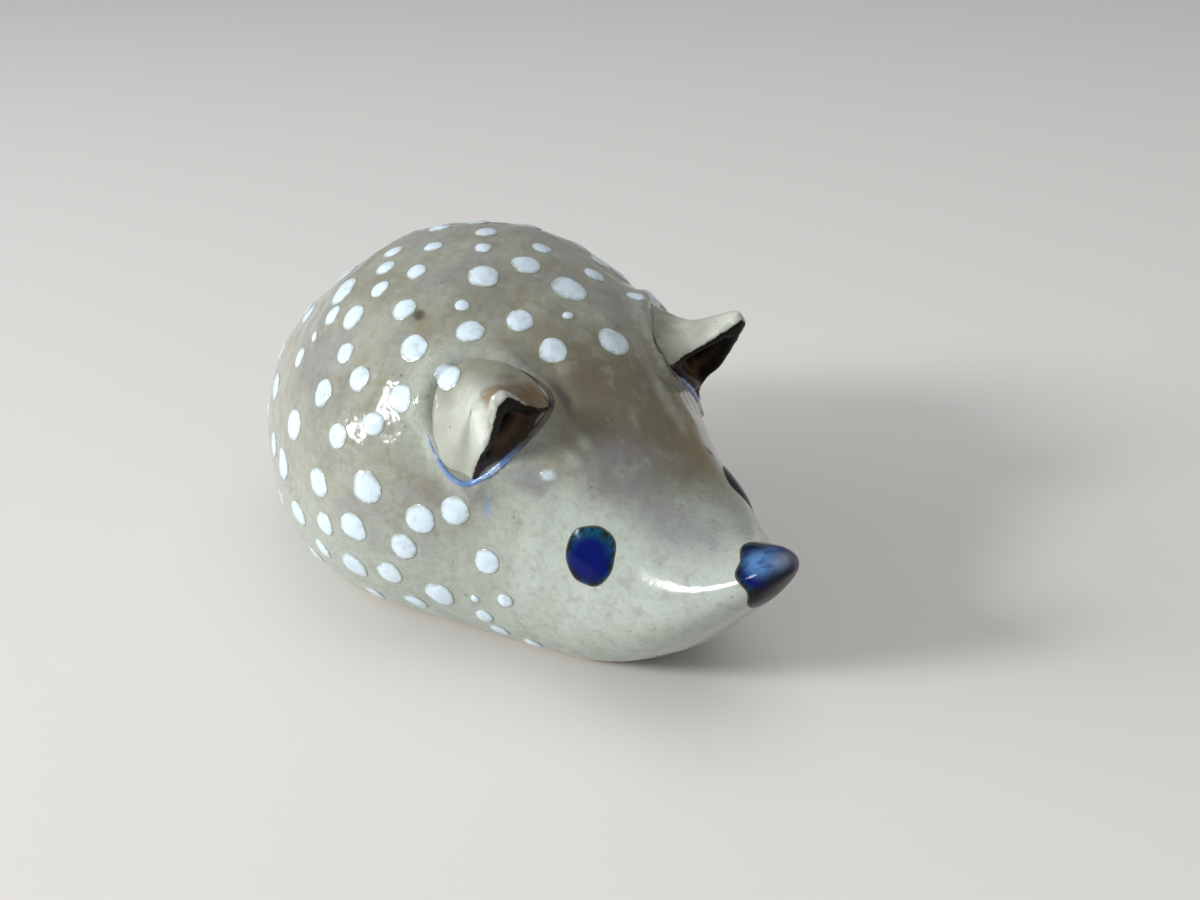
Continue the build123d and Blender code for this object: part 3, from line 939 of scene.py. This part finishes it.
def dot_tree():
    """Geometry Nodes tree that sets a dome of slip on each point and lays it on the skin."""
    tree = bpy.data.node_groups.new("Slip Dots", "GeometryNodeTree")
    tree.is_modifier = True
    for label, kind in (("Geometry", "Geometry"), ("Skin", "Object"), ("Right Ear", "Object"),
                        ("Left Ear", "Object"), ("Rise", "Float"), ("Root", "Float"),
                        ("Wobble", "Float"), ("Wobble Scale", "Float"), ("Seed", "Float"),
                        ("Corners", "Int"), ("Rings", "Int"), ("Slip", "Material")):
        tree.interface.new_socket(label, in_out="INPUT", socket_type=f"NodeSocket{kind}")
    tree.interface.new_socket("Geometry", in_out="OUTPUT", socket_type="NodeSocketGeometry")
    given = node(tree, "NodeGroupInput").outputs
    made = Nodes(tree)
    thinness, start_height, ray_length, clearance = 0.00001, 0.0015, 0.006, 0.000012

    def named(label, kind="FLOAT"):
        return made.add("GeometryNodeInputNamedAttribute", {"Name": label}, "Attribute",
                        data_type=kind)

    place = made.add("GeometryNodeInputPosition")
    parts = node(tree, "ShaderNodeSeparateXYZ", {0: place}).outputs
    flat = made.add("ShaderNodeCombineXYZ", {"X": parts["X"], "Y": parts["Y"]})
    dome = made.add("GeometryNodeMeshUVSphere", {"Radius": 1.0, "Segments": given["Corners"],
                                                 "Rings": given["Rings"]}, "Mesh")
    for label, value in (("height", parts["Z"]), ("edge", made.size(flat))):
        dome = made.add("GeometryNodeStoreNamedAttribute",
                        {"Geometry": dome, "Name": label, "Value": value},
                        data_type="FLOAT", domain="POINT")

    outward, radius = named("outward", "FLOAT_VECTOR"), named("radius")
    turned = made.add("FunctionNodeAlignRotationToVector", {"Vector": outward}, axis="Z")
    size = made.add("ShaderNodeCombineXYZ", {"X": radius, "Y": radius, "Z": thinness})
    placed = made.add("GeometryNodeInstanceOnPoints",
                      {"Points": given["Geometry"], "Instance": dome, "Rotation": turned,
                       "Scale": size})
    real = made.add("GeometryNodeRealizeInstances", {0: placed})
    bays = made.noise(place, given["Wobble Scale"], 1.0, "Color", given["Seed"])
    centred = made.vector("SUBTRACT", bays, (0.5, 0.5, 0.5))
    moved = made.vector("ADD", place, made.scaled(centred, given["Wobble"]))

    skins = node(tree, "GeometryNodeJoinGeometry")
    for label in ("Skin", "Right Ear", "Left Ear"):
        skin = made.add("GeometryNodeObjectInfo", {"Object": given[label]}, "Geometry",
                        transform_space="ORIGINAL")
        tree.links.new(skin, skins.inputs[0])
    above = made.vector("MULTIPLY_ADD", outward, (start_height,) * 3, moved)
    hit = made.add("GeometryNodeRaycast",
                   {"Target Geometry": skins.outputs[0], "Source Position": above,
                    "Ray Direction": made.scaled(outward, -1.0), "Ray Length": ray_length},
                   "Hit Position")

    height = named("height")
    domed = made.number("POWER", made.number("MAXIMUM", height, 0.0), 1.5)
    lifted = made.number("MULTIPLY", domed, given["Rise"])
    sunk = made.number("MULTIPLY_ADD", made.number("MINIMUM", height, 0.0), given["Root"], lifted)
    raised = made.scaled(outward, made.number("ADD", sunk, clearance))
    laid = made.add("GeometryNodeSetPosition",
                    {"Geometry": real, "Position": made.vector("ADD", hit, raised)})
    smooth = made.add("GeometryNodeSetShadeSmooth", {0: laid})
    coated = made.add("GeometryNodeSetMaterial", {"Geometry": smooth, "Material": given["Slip"]})
    node(tree, "NodeGroupOutput", {0: coated})
    return tree


def make_dots(cad_node, number, tree, slip):
    """One group of slip dots, from the seats of its CAD node."""
    glaze = bpy.context.scene.hedgehog_glaze
    middles, outwards, radii = (np.array(part) for part in zip(*dot_seats(cad_node)))
    mesh = plain_mesh(f"{cad_node}_seats", middles * MM)
    store(mesh, "outward", "FLOAT_VECTOR", outwards)
    store(mesh, "radius", "FLOAT", radii * MM)
    dots = added(f"raised_{cad_node}", mesh)
    modifier = dots.modifiers.new("Slip Dots", "NODES")
    modifier.node_group = tree
    skin, right_ear, left_ear = (bpy.data.objects[name] for name in DRESSED_CLAY)
    values = {
        "Skin": skin,
        "Right Ear": right_ear,
        "Left Ear": left_ear,
        "Rise": glaze.dot_rise,
        "Root": glaze.dot_root,
        "Wobble": glaze.dot_wobble,
        "Wobble Scale": glaze.dot_wobble_scale,
        "Seed": float(number),
        "Corners": glaze.dot_corners,
        "Rings": glaze.dot_rings,
        "Slip": slip,
    }
    for item in tree.interface.items_tree:
        if item.in_out == "INPUT" and item.name in values:
            modifier[item.identifier] = values[item.name]
    finish_modifiers(dots)
    if not dots.data.vertices:
        raise RuntimeError(f"{cad_node} came out empty")
    turned_outwards(dots.data, merged=True)
    return settle(dots, [cad_node])


# Shared effects, as shader node groups

class Effect(Nodes):
    """A shader node group with named inputs, each with its default, and one output"""

    def __init__(self, name, output, inputs):
        super().__init__(bpy.data.node_groups.new(name, "ShaderNodeTree"))
        for label, default in inputs.items():
            kind = "Vector" if isinstance(default, tuple) else "Float"
            socket = self.tree.interface.new_socket(label, in_out="INPUT",
                                                    socket_type=f"NodeSocket{kind}")
            socket.default_value = default
        self.tree.interface.new_socket(output, in_out="OUTPUT", socket_type="NodeSocketFloat")
        self.given = node(self.tree, "NodeGroupInput").outputs

    def close(self, result):
        """The group, with its result joined to its output."""
        node(self.tree, "NodeGroupOutput", {0: result})
        return self.tree


def soft_spot(name):
    """Group: a soft round mask about a place, its edge broken up by noise."""
    group = Effect(name, "Mask", {"Vector": (0, 0, 0), "Middle": (0, 0, 0), "Reach": (1, 1, 1),
                                  "Softness": 0.5, "Raggedness": 0.2, "Grain": 500.0})
    given = group.given
    ragged = group.noise(given["Vector"], given["Grain"], 3.0)
    apart = group.vector("SUBTRACT", given["Vector"], given["Middle"])
    away = group.size(group.vector("DIVIDE", apart, given["Reach"]))
    centred = group.number("SUBTRACT", ragged, 0.5)
    moved = group.number("MULTIPLY_ADD", centred, given["Raggedness"], away)
    inner = group.number("SUBTRACT", 1.0, given["Softness"])
    outer = group.number("ADD", 1.0, given["Softness"])
    return group.close(group.ramp(moved, inner, outer, 1.0, 0.0))


def mottling(name):
    """Group: cloudy patches between a low and a high level."""
    group = Effect(name, "Mask", {"Vector": (0, 0, 0), "Scale": 150.0, "Seed": 0.0, "Low": 0.4,
                                  "High": 0.6})
    given = group.given
    cloud = group.noise(given["Vector"], given["Scale"], 5.0, seed=given["Seed"], Roughness=0.6,
                        Distortion=0.6)
    return group.close(group.ramp(cloud, given["Low"], given["High"]))


def iron_specks(name):
    """Group: sparse small specks of iron that bled through the glaze."""
    group = Effect(name, "Mask", {"Vector": (0, 0, 0), "Scale": 700.0, "Size": 0.16,
                                  "Share": 0.25})
    given = group.given
    cells = node(group.tree, "ShaderNodeTexVoronoi",
                 {"Vector": given["Vector"], "Scale": given["Scale"], "Randomness": 1.0},
                 feature="F1").outputs
    chance = node(group.tree, "ShaderNodeSeparateColor", {0: cells["Color"]}).outputs
    picked = group.number("LESS_THAN", chance[0], given["Share"])
    own_size = group.number("MULTIPLY", chance[1], given["Size"])
    specks = group.ramp(cells["Distance"], 0.0, own_size, 1.0, 0.0)
    return group.close(group.number("MULTIPLY", specks, picked))


def glaze_waves(name):
    """Group: height of the broad and fine waves in a fired glaze."""
    group = Effect(name, "Height", {"Vector": (0, 0, 0), "Wave Scale": 520.0,
                                    "Ripple Scale": 1500.0, "Ripple Depth": 0.3})
    given = group.given
    waves = group.noise(given["Vector"], given["Wave Scale"], 1.0, Roughness=0.4)
    ripple = group.noise(given["Vector"], given["Ripple Scale"], 1.0, Roughness=0.5)
    return group.close(group.number("MULTIPLY_ADD", ripple, given["Ripple Depth"], waves))


class Finish(Nodes):
    """A material as it is built up: its colour is mixed layer by layer"""

    def __init__(self, name, first, rough, bump):
        self.material = bpy.data.materials.new(name)
        self.material.use_nodes = True
        super().__init__(self.material.node_tree)
        self.tree.nodes.clear()
        self.place = self.add("ShaderNodeTexCoord", output="Object")
        self.waves = self.effect(glaze_waves, "Glaze Waves")
        self.relief = node(self.tree, "ShaderNodeBump",
                           {"Strength": 1.0, "Distance": bump, "Height": self.waves})
        self.shader = node(self.tree, "ShaderNodeBsdfPrincipled",
                           {"Roughness": rough, "IOR": 1.52,
                            "Normal": self.relief.outputs["Normal"]})
        node(self.tree, "ShaderNodeOutputMaterial", {0: self.shader.outputs[0]})
        self.colour = self.tone(first)

    def tone(self, name):
        """A colour of the glazes and slips, by its name."""
        return (*getattr(bpy.context.scene.hedgehog_colours, name), 1)

    def effect(self, builder, name, **values):
        """Output of a shared effect."""
        tree = made_once(bpy.data.node_groups, builder, name)
        return self.add("ShaderNodeGroup", {"Vector": self.place, **values}, node_tree=tree)

    def spot(self, middle, reach, softness=0.5, raggedness=0.3, grain=400.0):
        """Mask about a place given in millimetres."""
        return self.effect(soft_spot, "Soft Spot", Middle=[c * MM for c in middle],
                           Reach=[c * MM for c in reach], Softness=softness,
                           Raggedness=raggedness, Grain=grain)

    def cloud(self, scale, seed, low, high):
        """Mask of cloudy patches."""
        return self.effect(mottling, "Mottling", Scale=scale, Seed=seed, Low=low, High=high)

    def specks(self, scale, size, share):
        """Mask of iron specks."""
        return self.effect(iron_specks, "Iron Specks", Scale=scale, Size=size, Share=share)

    def attribute(self, name):
        """A number stored on the mesh."""
        return self.add("ShaderNodeAttribute", output="Fac", attribute_name=name)

    def axis(self, letter, low, high):
        """Mask that rises from low to high, in millimetres, along an axis."""
        return self.ramp(self.add("ShaderNodeSeparateXYZ", {0: self.place}, letter),
                         low * MM, high * MM)

    def times(self, first, *others):
        """Product of masks and numbers."""
        for other in others:
            first = self.number("MULTIPLY", first, other)
        return first

    def less(self, source):
        """A mask turned inside out."""
        return self.number("SUBTRACT", 1.0, source)

    def calm(self, share):
        """Lets the waves of the glaze die down to a share of their height."""
        self.tree.links.new(self.times(self.waves, share), self.relief.inputs["Height"])

    def layer(self, name, mask, strength):
        """Lays a colour over what is there, where the mask is."""
        self.colour = self.add("ShaderNodeMix", {0: self.times(mask, strength), 6: self.colour,
                                                 7: self.tone(name)},
                               2, data_type="RGBA", blend_type="MIX")

    def close(self):
        """The material, with its colour joined to the shader."""
        self.tree.links.new(self.colour, self.shader.inputs["Base Color"])
        return self.material


def body_glaze(name):
    """Clear glaze over stone-coloured clay, creamy on the face, brown on the forehead."""
    coat = Finish(name, "stone", 0.13, 0.00013)
    coat.calm(coat.ramp(coat.axis("X", 9.0, 19.0), 0.0, 1.0, 1.0, 0.25))
    high, low = coat.axis("Z", 12.0, 24.0), coat.less(coat.axis("Z", 4.0, 15.0))
    cheeks = coat.times(coat.axis("X", 6.0, 13.0), coat.less(coat.axis("Z", 14.0, 18.5)))
    coat.layer("umber", coat.times(coat.cloud(120.0, 2.0, 0.42, 0.66), high), 0.42)
    coat.layer("lilac", coat.cloud(170.0, 1.0, 0.47, 0.64), 0.5)
    coat.layer("ochre", coat.cloud(260.0, 5.0, 0.52, 0.68), 0.35)
    coat.layer("cream", low, 0.75)
    coat.layer("cream", cheeks, 0.85)
    coat.layer("stone", coat.times(coat.cloud(330.0, 7.0, 0.46, 0.62), low), 0.3)
    # Among these patches is painted shade beside the right ear.
    for colour_name, *spot, strength in BODY_PATCHES:
        coat.layer(colour_name, coat.spot(*spot), strength)
    for colour_name, cloud, strength in (("cream", (520.0, 27.0, 0.5, 0.68), 0.22),
                                         ("umber", (900.0, 23.0, 0.5, 0.68), 0.22),
                                         ("umber", (1900.0, 17.0, 0.4, 0.7), 0.2)):
        coat.layer(colour_name, coat.cloud(*cloud), strength)
    for specks, strength in (((620.0, 0.15, 0.35), 0.75), ((1100.0, 0.19, 0.4), 0.6),
                             ((2100.0, 0.3, 0.3), 0.4)):
        coat.layer("iron", coat.specks(*specks), strength)
    bare = coat.less(coat.axis("Z", 0.35, 0.7))
    coat.layer("biscuit", bare, 1.0)
    coat.layer("biscuit", coat.spot((VENT_X, 0, 1.8), (1.9, 1.9, 3.0), 0.08, 0.0), 1.0)
    coat.layer("bark", coat.times(bare, coat.cloud(260.0, 31.0, 0.42, 0.7)), 0.25)
    coat.layer("cream", coat.times(bare, coat.cloud(700.0, 33.0, 0.52, 0.7)), 0.3)
    coat.layer("iron", coat.times(bare, coat.specks(1300.0, 0.2, 0.35)), 0.6)
    coat.tree.links.new(coat.ramp(bare, 0.0, 1.0, 0.13, 0.85), coat.shader.inputs["Roughness"])
    return coat.close()


def ear_glaze(name):
    """Pale glaze over the ears, like the back at their foot, thin and brown on their rims."""
    coat = Finish(name, "ear_cream", 0.14, 0.00011)
    above, across, behind, height, browned = (
        coat.attribute(label) for label in ("above", "across", "behind", "height", "browned"))
    inner_foot = coat.times(coat.less(coat.ramp(above, 0.5, 3.4)), coat.ramp(across, -2.8, 0.8))
    rim = coat.times(coat.ramp(behind, 0.25, 0.5), coat.less(coat.ramp(behind, 1.9, 3.2)),
                     coat.ramp(across, 0.7, 1.6), browned)
    inner_back = coat.times(coat.ramp(across, 0.2, 2.4), browned, coat.ramp(behind, 0.4, 1.2))
    front = coat.less(coat.ramp(behind, 0.1, 0.45))
    coat.layer("stone", coat.cloud(260.0, 3.0, 0.42, 0.6), 0.45)
    coat.layer("stone", coat.less(coat.ramp(above, 0.7, 2.4)), 0.7)
    coat.layer("stone", inner_foot, 0.95)
    coat.layer("umber", coat.times(inner_foot, coat.cloud(300.0, 8.0, 0.4, 0.62)), 0.6)
    coat.layer("umber", inner_back, 0.4)
    coat.layer("amber", coat.times(rim, coat.ramp(height, -0.6, 0.8)), 0.85)
    coat.layer("pitch", coat.times(front, coat.cloud(900.0, 21.0, 0.4, 0.62)), 0.45)
    coat.layer("iron", coat.specks(900.0, 0.2, 0.25), 0.6)
    return coat.close()


def lining_slip(name):
    """Iron slip in the ears: black where it lies thick, brown on the floor; the black towards the
    top of the hollow and along its edge is also painted shade under the rim.
    """
    coat = Finish(name, "bark", 0.32, 0.0001)
    coat.shader.inputs["Specular IOR Level"].default_value = 0.08
    inward, height = coat.attribute("inward"), coat.attribute("height")
    rim = coat.times(coat.less(coat.ramp(inward, 0.9, 2.3)), coat.ramp(height, -0.6, 1.0, 0.35))
    foot = coat.times(coat.less(coat.ramp(height, -0.4, 1.4)),
                      coat.less(coat.ramp(inward, 0.3, 1.3)))
    coat.layer("umber", coat.cloud(700.0, 2.0, 0.5, 0.7), 0.4)
    coat.layer("pitch", coat.cloud(500.0, 4.0, 0.5, 0.8), 0.4)
    # Black slip and painted shade: black towards the top of the hollow here, and along its edge in
    # the next line, where the rim shades it.
    coat.layer("pitch", coat.ramp(height, 3.4, 4.8), 0.9)
    coat.layer("pitch", rim, 0.95)
    coat.layer("cobalt", coat.times(foot, coat.cloud(600.0, 41.0, 0.3, 0.6)), 0.35)
    return coat.close()


def cobalt_eye(name):
    """Deep cobalt, thinning to teal at its upper edge, with dark specks there; the left eye, on the
    far side, is darkened towards black as painted shade.
    """
    coat = Finish(name, "cobalt", 0.12, 0.00006)
    coat.shader.inputs["Specular IOR Level"].default_value = 0.12
    edge = coat.attribute("edge")
    upper_edge = coat.times(coat.ramp(edge, 0.45, 0.85), coat.axis("Z", 12.2, 13.6))
    ragged = coat.cloud(1500.0, 6.0, 0.44, 0.54)
    coat.layer("teal", upper_edge, 0.85)
    coat.layer("teal", coat.ramp(edge, 0.78, 0.95), 0.4)
    # Painted shade: the left eye, on the side turned from the light, is darkened towards black.
    coat.layer("pitch", coat.axis("Y", -2.0, 2.0), 0.7)
    coat.layer("pitch", coat.times(ragged, coat.ramp(edge, 0.6, 0.9)), 0.85)
    coat.layer("umber", coat.ramp(edge, 0.92, 1.0), 0.8)
    return coat.close()


def cobalt_nose(name):
    """Cobalt over the nose: pale where it is thin on top, with painted shade in black underneath."""
    coat = Finish(name, "cobalt", 0.12, 0.00006)
    coat.shader.inputs["Specular IOR Level"].default_value = 0.1
    edge = coat.attribute("edge")
    ragged = coat.cloud(1300.0, 4.0, 0.44, 0.54)
    coat.layer("sky", coat.spot((26.4, -1.2, 14.7), (2.1, 1.4, 0.9), 0.6, 1.1, 420.0), 0.9)
    coat.layer("cobalt", coat.cloud(430.0, 2.0, 0.52, 0.62), 0.6)
    coat.layer("lilac", coat.spot((27.8, -0.4, 15.1), (1.0, 1.5, 0.9), 0.7, 1.4, 500.0), 0.7)
    coat.layer("pitch", coat.spot((23.9, 0.7, 14.6), (1.6, 1.7, 1.6), 0.5, 0.8, 600.0), 0.85)
    # Painted shade: black laid over the underside of the nose, here and at its tip in the next line.
    coat.layer("pitch", coat.less(coat.axis("Z", 12.6, 13.3)), 0.98)
    coat.layer("pitch", coat.spot((27.9, 0.0, 13.4), (1.3, 2.2, 1.1), 0.5, 0.6, 600.0), 0.9)
    coat.layer("teal", coat.ramp(edge, 0.8, 0.96), 0.5)
    coat.layer("pitch", coat.times(ragged, coat.ramp(edge, 0.72, 0.94)), 0.85)
    coat.layer("umber", coat.ramp(edge, 0.94, 1.0), 0.8)
    return coat.close()


def white_slip(name):
    """White slip under the glaze, broken and warmer at its thin edge."""
    coat = Finish(name, "slip", 0.14, 0.00014)
    edge = coat.attribute("edge")
    broken = coat.times(coat.ramp(edge, 0.66, 0.95), coat.cloud(1500.0, 3.0, 0.4, 0.56))
    coat.layer("stone", coat.cloud(500.0, 9.0, 0.5, 0.75), 0.25)
    coat.layer("stone", coat.cloud(1700.0, 15.0, 0.5, 0.7), 0.3)
    coat.layer("stone", broken, 0.7)
    coat.layer("stone", coat.ramp(edge, 0.86, 1.0), 0.85)
    return coat.close()


def pooled_glaze(name):
    """Milky blue glaze that ran together below the ears, with painted shade in brown and black in
    the corner at their inner side.
    """
    coat = Finish(name, "pool", 0.12, 0.00006)
    along = coat.attribute("along")
    dark = coat.times(coat.ramp(along, 0.5, 0.7), coat.cloud(600.0, 2.0, 0.35, 0.6))
    coat.layer("stone", coat.cloud(520.0, 12.0, 0.46, 0.64), 0.6)
    coat.layer("slip", coat.cloud(900.0, 14.0, 0.52, 0.68), 0.6)
    # Painted shade: the umber here and the pitch below darken the corner between head and ear at the
    # ear's inner side.
    coat.layer("umber", coat.ramp(along, 0.46, 0.62), 0.9)
    coat.layer("pitch", dark, 0.8)
    return coat.close()


# Stage

def aimed(made, spot, target):
    """Sets a lamp or camera at a spot and turns it to a target."""
    made.location = spot
    made.rotation_euler = (Vector(target) - Vector(spot)).to_track_quat("-Z", "Y").to_euler()
    return made


def make_stage():
    """Pale floor, soft light from the side and above, and the camera."""
    scene = bpy.context.scene
    half = 3
    corners = [(-half, -half, 0), (half, -half, 0), (half, half, 0), (-half, half, 0)]
    floor = added("studio_floor", plain_mesh("studio_floor", corners, [(0, 1, 2, 3)]))
    paint = bpy.data.materials.new("Studio Floor")
    paint.use_nodes = True
    shader = paint.node_tree.nodes["Principled BSDF"]
    shader.inputs["Base Color"].default_value = (*scene.hedgehog_colours.floor, 1)
    shader.inputs["Roughness"].default_value = 0.6
    floor.data.materials.append(paint)

    world = bpy.data.worlds.new("Studio")
    world.use_nodes = True
    sky = world.node_tree.nodes["Background"]
    sky.inputs["Color"].default_value = (0.93, 0.95, 1.0, 1)
    sky.inputs["Strength"].default_value = 0.36
    scene.world = world

    for name, spot, target_height, size, power, tint, mirrored, cone in LAMPS:
        light = bpy.data.lights.new(name, "AREA")
        light.shape = "RECTANGLE"
        light.size, light.size_y = size
        light.energy = power
        light.spread = math.radians(cone)
        light.color = tint
        aimed(added(name, light), spot, (0, 0, target_height)).visible_glossy = mirrored

    lens = bpy.data.cameras.new("studio_camera")
    lens.lens = 45
    lens.sensor_width = 36
    lens.clip_start = 0.002
    scene.camera = aimed(added("studio_camera", lens), (0.0850, -0.0637, 0.0651),
                         (-0.0155, 0.0198, 0.0))
    scene.view_settings.view_transform = "Standard"


# Operators

class HEDGEHOG_OT_body(bpy.types.Operator):
    """Makes the glazed body with its vent"""

    bl_idname = "hedgehog.body"
    bl_label = "Body"

    def execute(self, context):
        make_body()
        return {"FINISHED"}


class HEDGEHOG_OT_ears(bpy.types.Operator):
    """Makes both ears and the dark slip that lines them"""

    bl_idname = "hedgehog.ears"
    bl_label = "Ears"

    def execute(self, context):
        for side in SIDES:
            make_ear(side)
        return {"FINISHED"}


class HEDGEHOG_OT_pools(bpy.types.Operator):
    """Makes the blue glaze pooled round the ears"""

    bl_idname = "hedgehog.pools"
    bl_label = "Glaze Pools"

    def execute(self, context):
        for side in SIDES:
            make_pool(side)
        return {"FINISHED"}


class HEDGEHOG_OT_eyes(bpy.types.Operator):
    """Makes both cobalt eyes"""

    bl_idname = "hedgehog.eyes"
    bl_label = "Eyes"

    def execute(self, context):
        for side in SIDES:
            make_eye(side)
        return {"FINISHED"}


class HEDGEHOG_OT_nose(bpy.types.Operator):
    """Makes the cobalt cap of the nose"""

    bl_idname = "hedgehog.nose"
    bl_label = "Nose"

    def execute(self, context):
        make_nose()
        return {"FINISHED"}


class HEDGEHOG_OT_dots(bpy.types.Operator):
    """Makes the white slip dots, group by group"""

    bl_idname = "hedgehog.dots"
    bl_label = "Slip Dots"

    def execute(self, context):
        tree = dot_tree()
        slip = made_once(bpy.data.materials, white_slip, "White Slip")
        for number, group in enumerate(DOT_GROUPS):
            make_dots(group, number, tree, slip)
        return {"FINISHED"}


class HEDGEHOG_OT_stage(bpy.types.Operator):
    """Makes the floor, the lights and the camera"""

    bl_idname = "hedgehog.stage"
    bl_label = "Stage"

    def execute(self, context):
        make_stage()
        return {"FINISHED"}


class HEDGEHOG_PT_panel(bpy.types.Panel):
    """Buttons for the pieces of the hedgehog, and their sizes and colours"""

    bl_idname = "HEDGEHOG_PT_panel"
    bl_label = "Hedgehog"
    bl_space_type = "VIEW_3D"
    bl_region_type = "UI"
    bl_category = "Hedgehog"

    def draw(self, context):
        for operator in OPERATORS:
            self.layout.operator(operator.bl_idname)
        for title in ("hedgehog_form", "hedgehog_glaze", "hedgehog_colours"):
            group = getattr(context.scene, title)
            box = self.layout.box()
            for label in group.bl_rna.properties.keys():
                if label not in ("rna_type", "name"):
                    box.prop(group, label)


GROUPS = {
    "hedgehog_form": HedgehogForm,
    "hedgehog_glaze": HedgehogGlaze,
    "hedgehog_colours": HedgehogColours,
}
OPERATORS = [
    HEDGEHOG_OT_body,
    HEDGEHOG_OT_ears,
    HEDGEHOG_OT_pools,
    HEDGEHOG_OT_eyes,
    HEDGEHOG_OT_nose,
    HEDGEHOG_OT_dots,
    HEDGEHOG_OT_stage,
]


def register():
    for name, group in GROUPS.items():
        bpy.utils.register_class(group)
        setattr(bpy.types.Scene, name, PointerProperty(type=group))
    for operator in OPERATORS:
        bpy.utils.register_class(operator)
    bpy.utils.register_class(HEDGEHOG_PT_panel)


def unregister():
    bpy.utils.unregister_class(HEDGEHOG_PT_panel)
    for operator in reversed(OPERATORS):
        bpy.utils.unregister_class(operator)
    for name, group in GROUPS.items():
        delattr(bpy.types.Scene, name)
        bpy.utils.unregister_class(group)


def main():
    register()
    bpy.ops.hedgehog.body()
    bpy.ops.hedgehog.ears()
    bpy.ops.hedgehog.pools()
    bpy.ops.hedgehog.eyes()
    bpy.ops.hedgehog.nose()
    bpy.ops.hedgehog.dots()
    bpy.ops.hedgehog.stage()


if __name__ == "__main__":
    main()
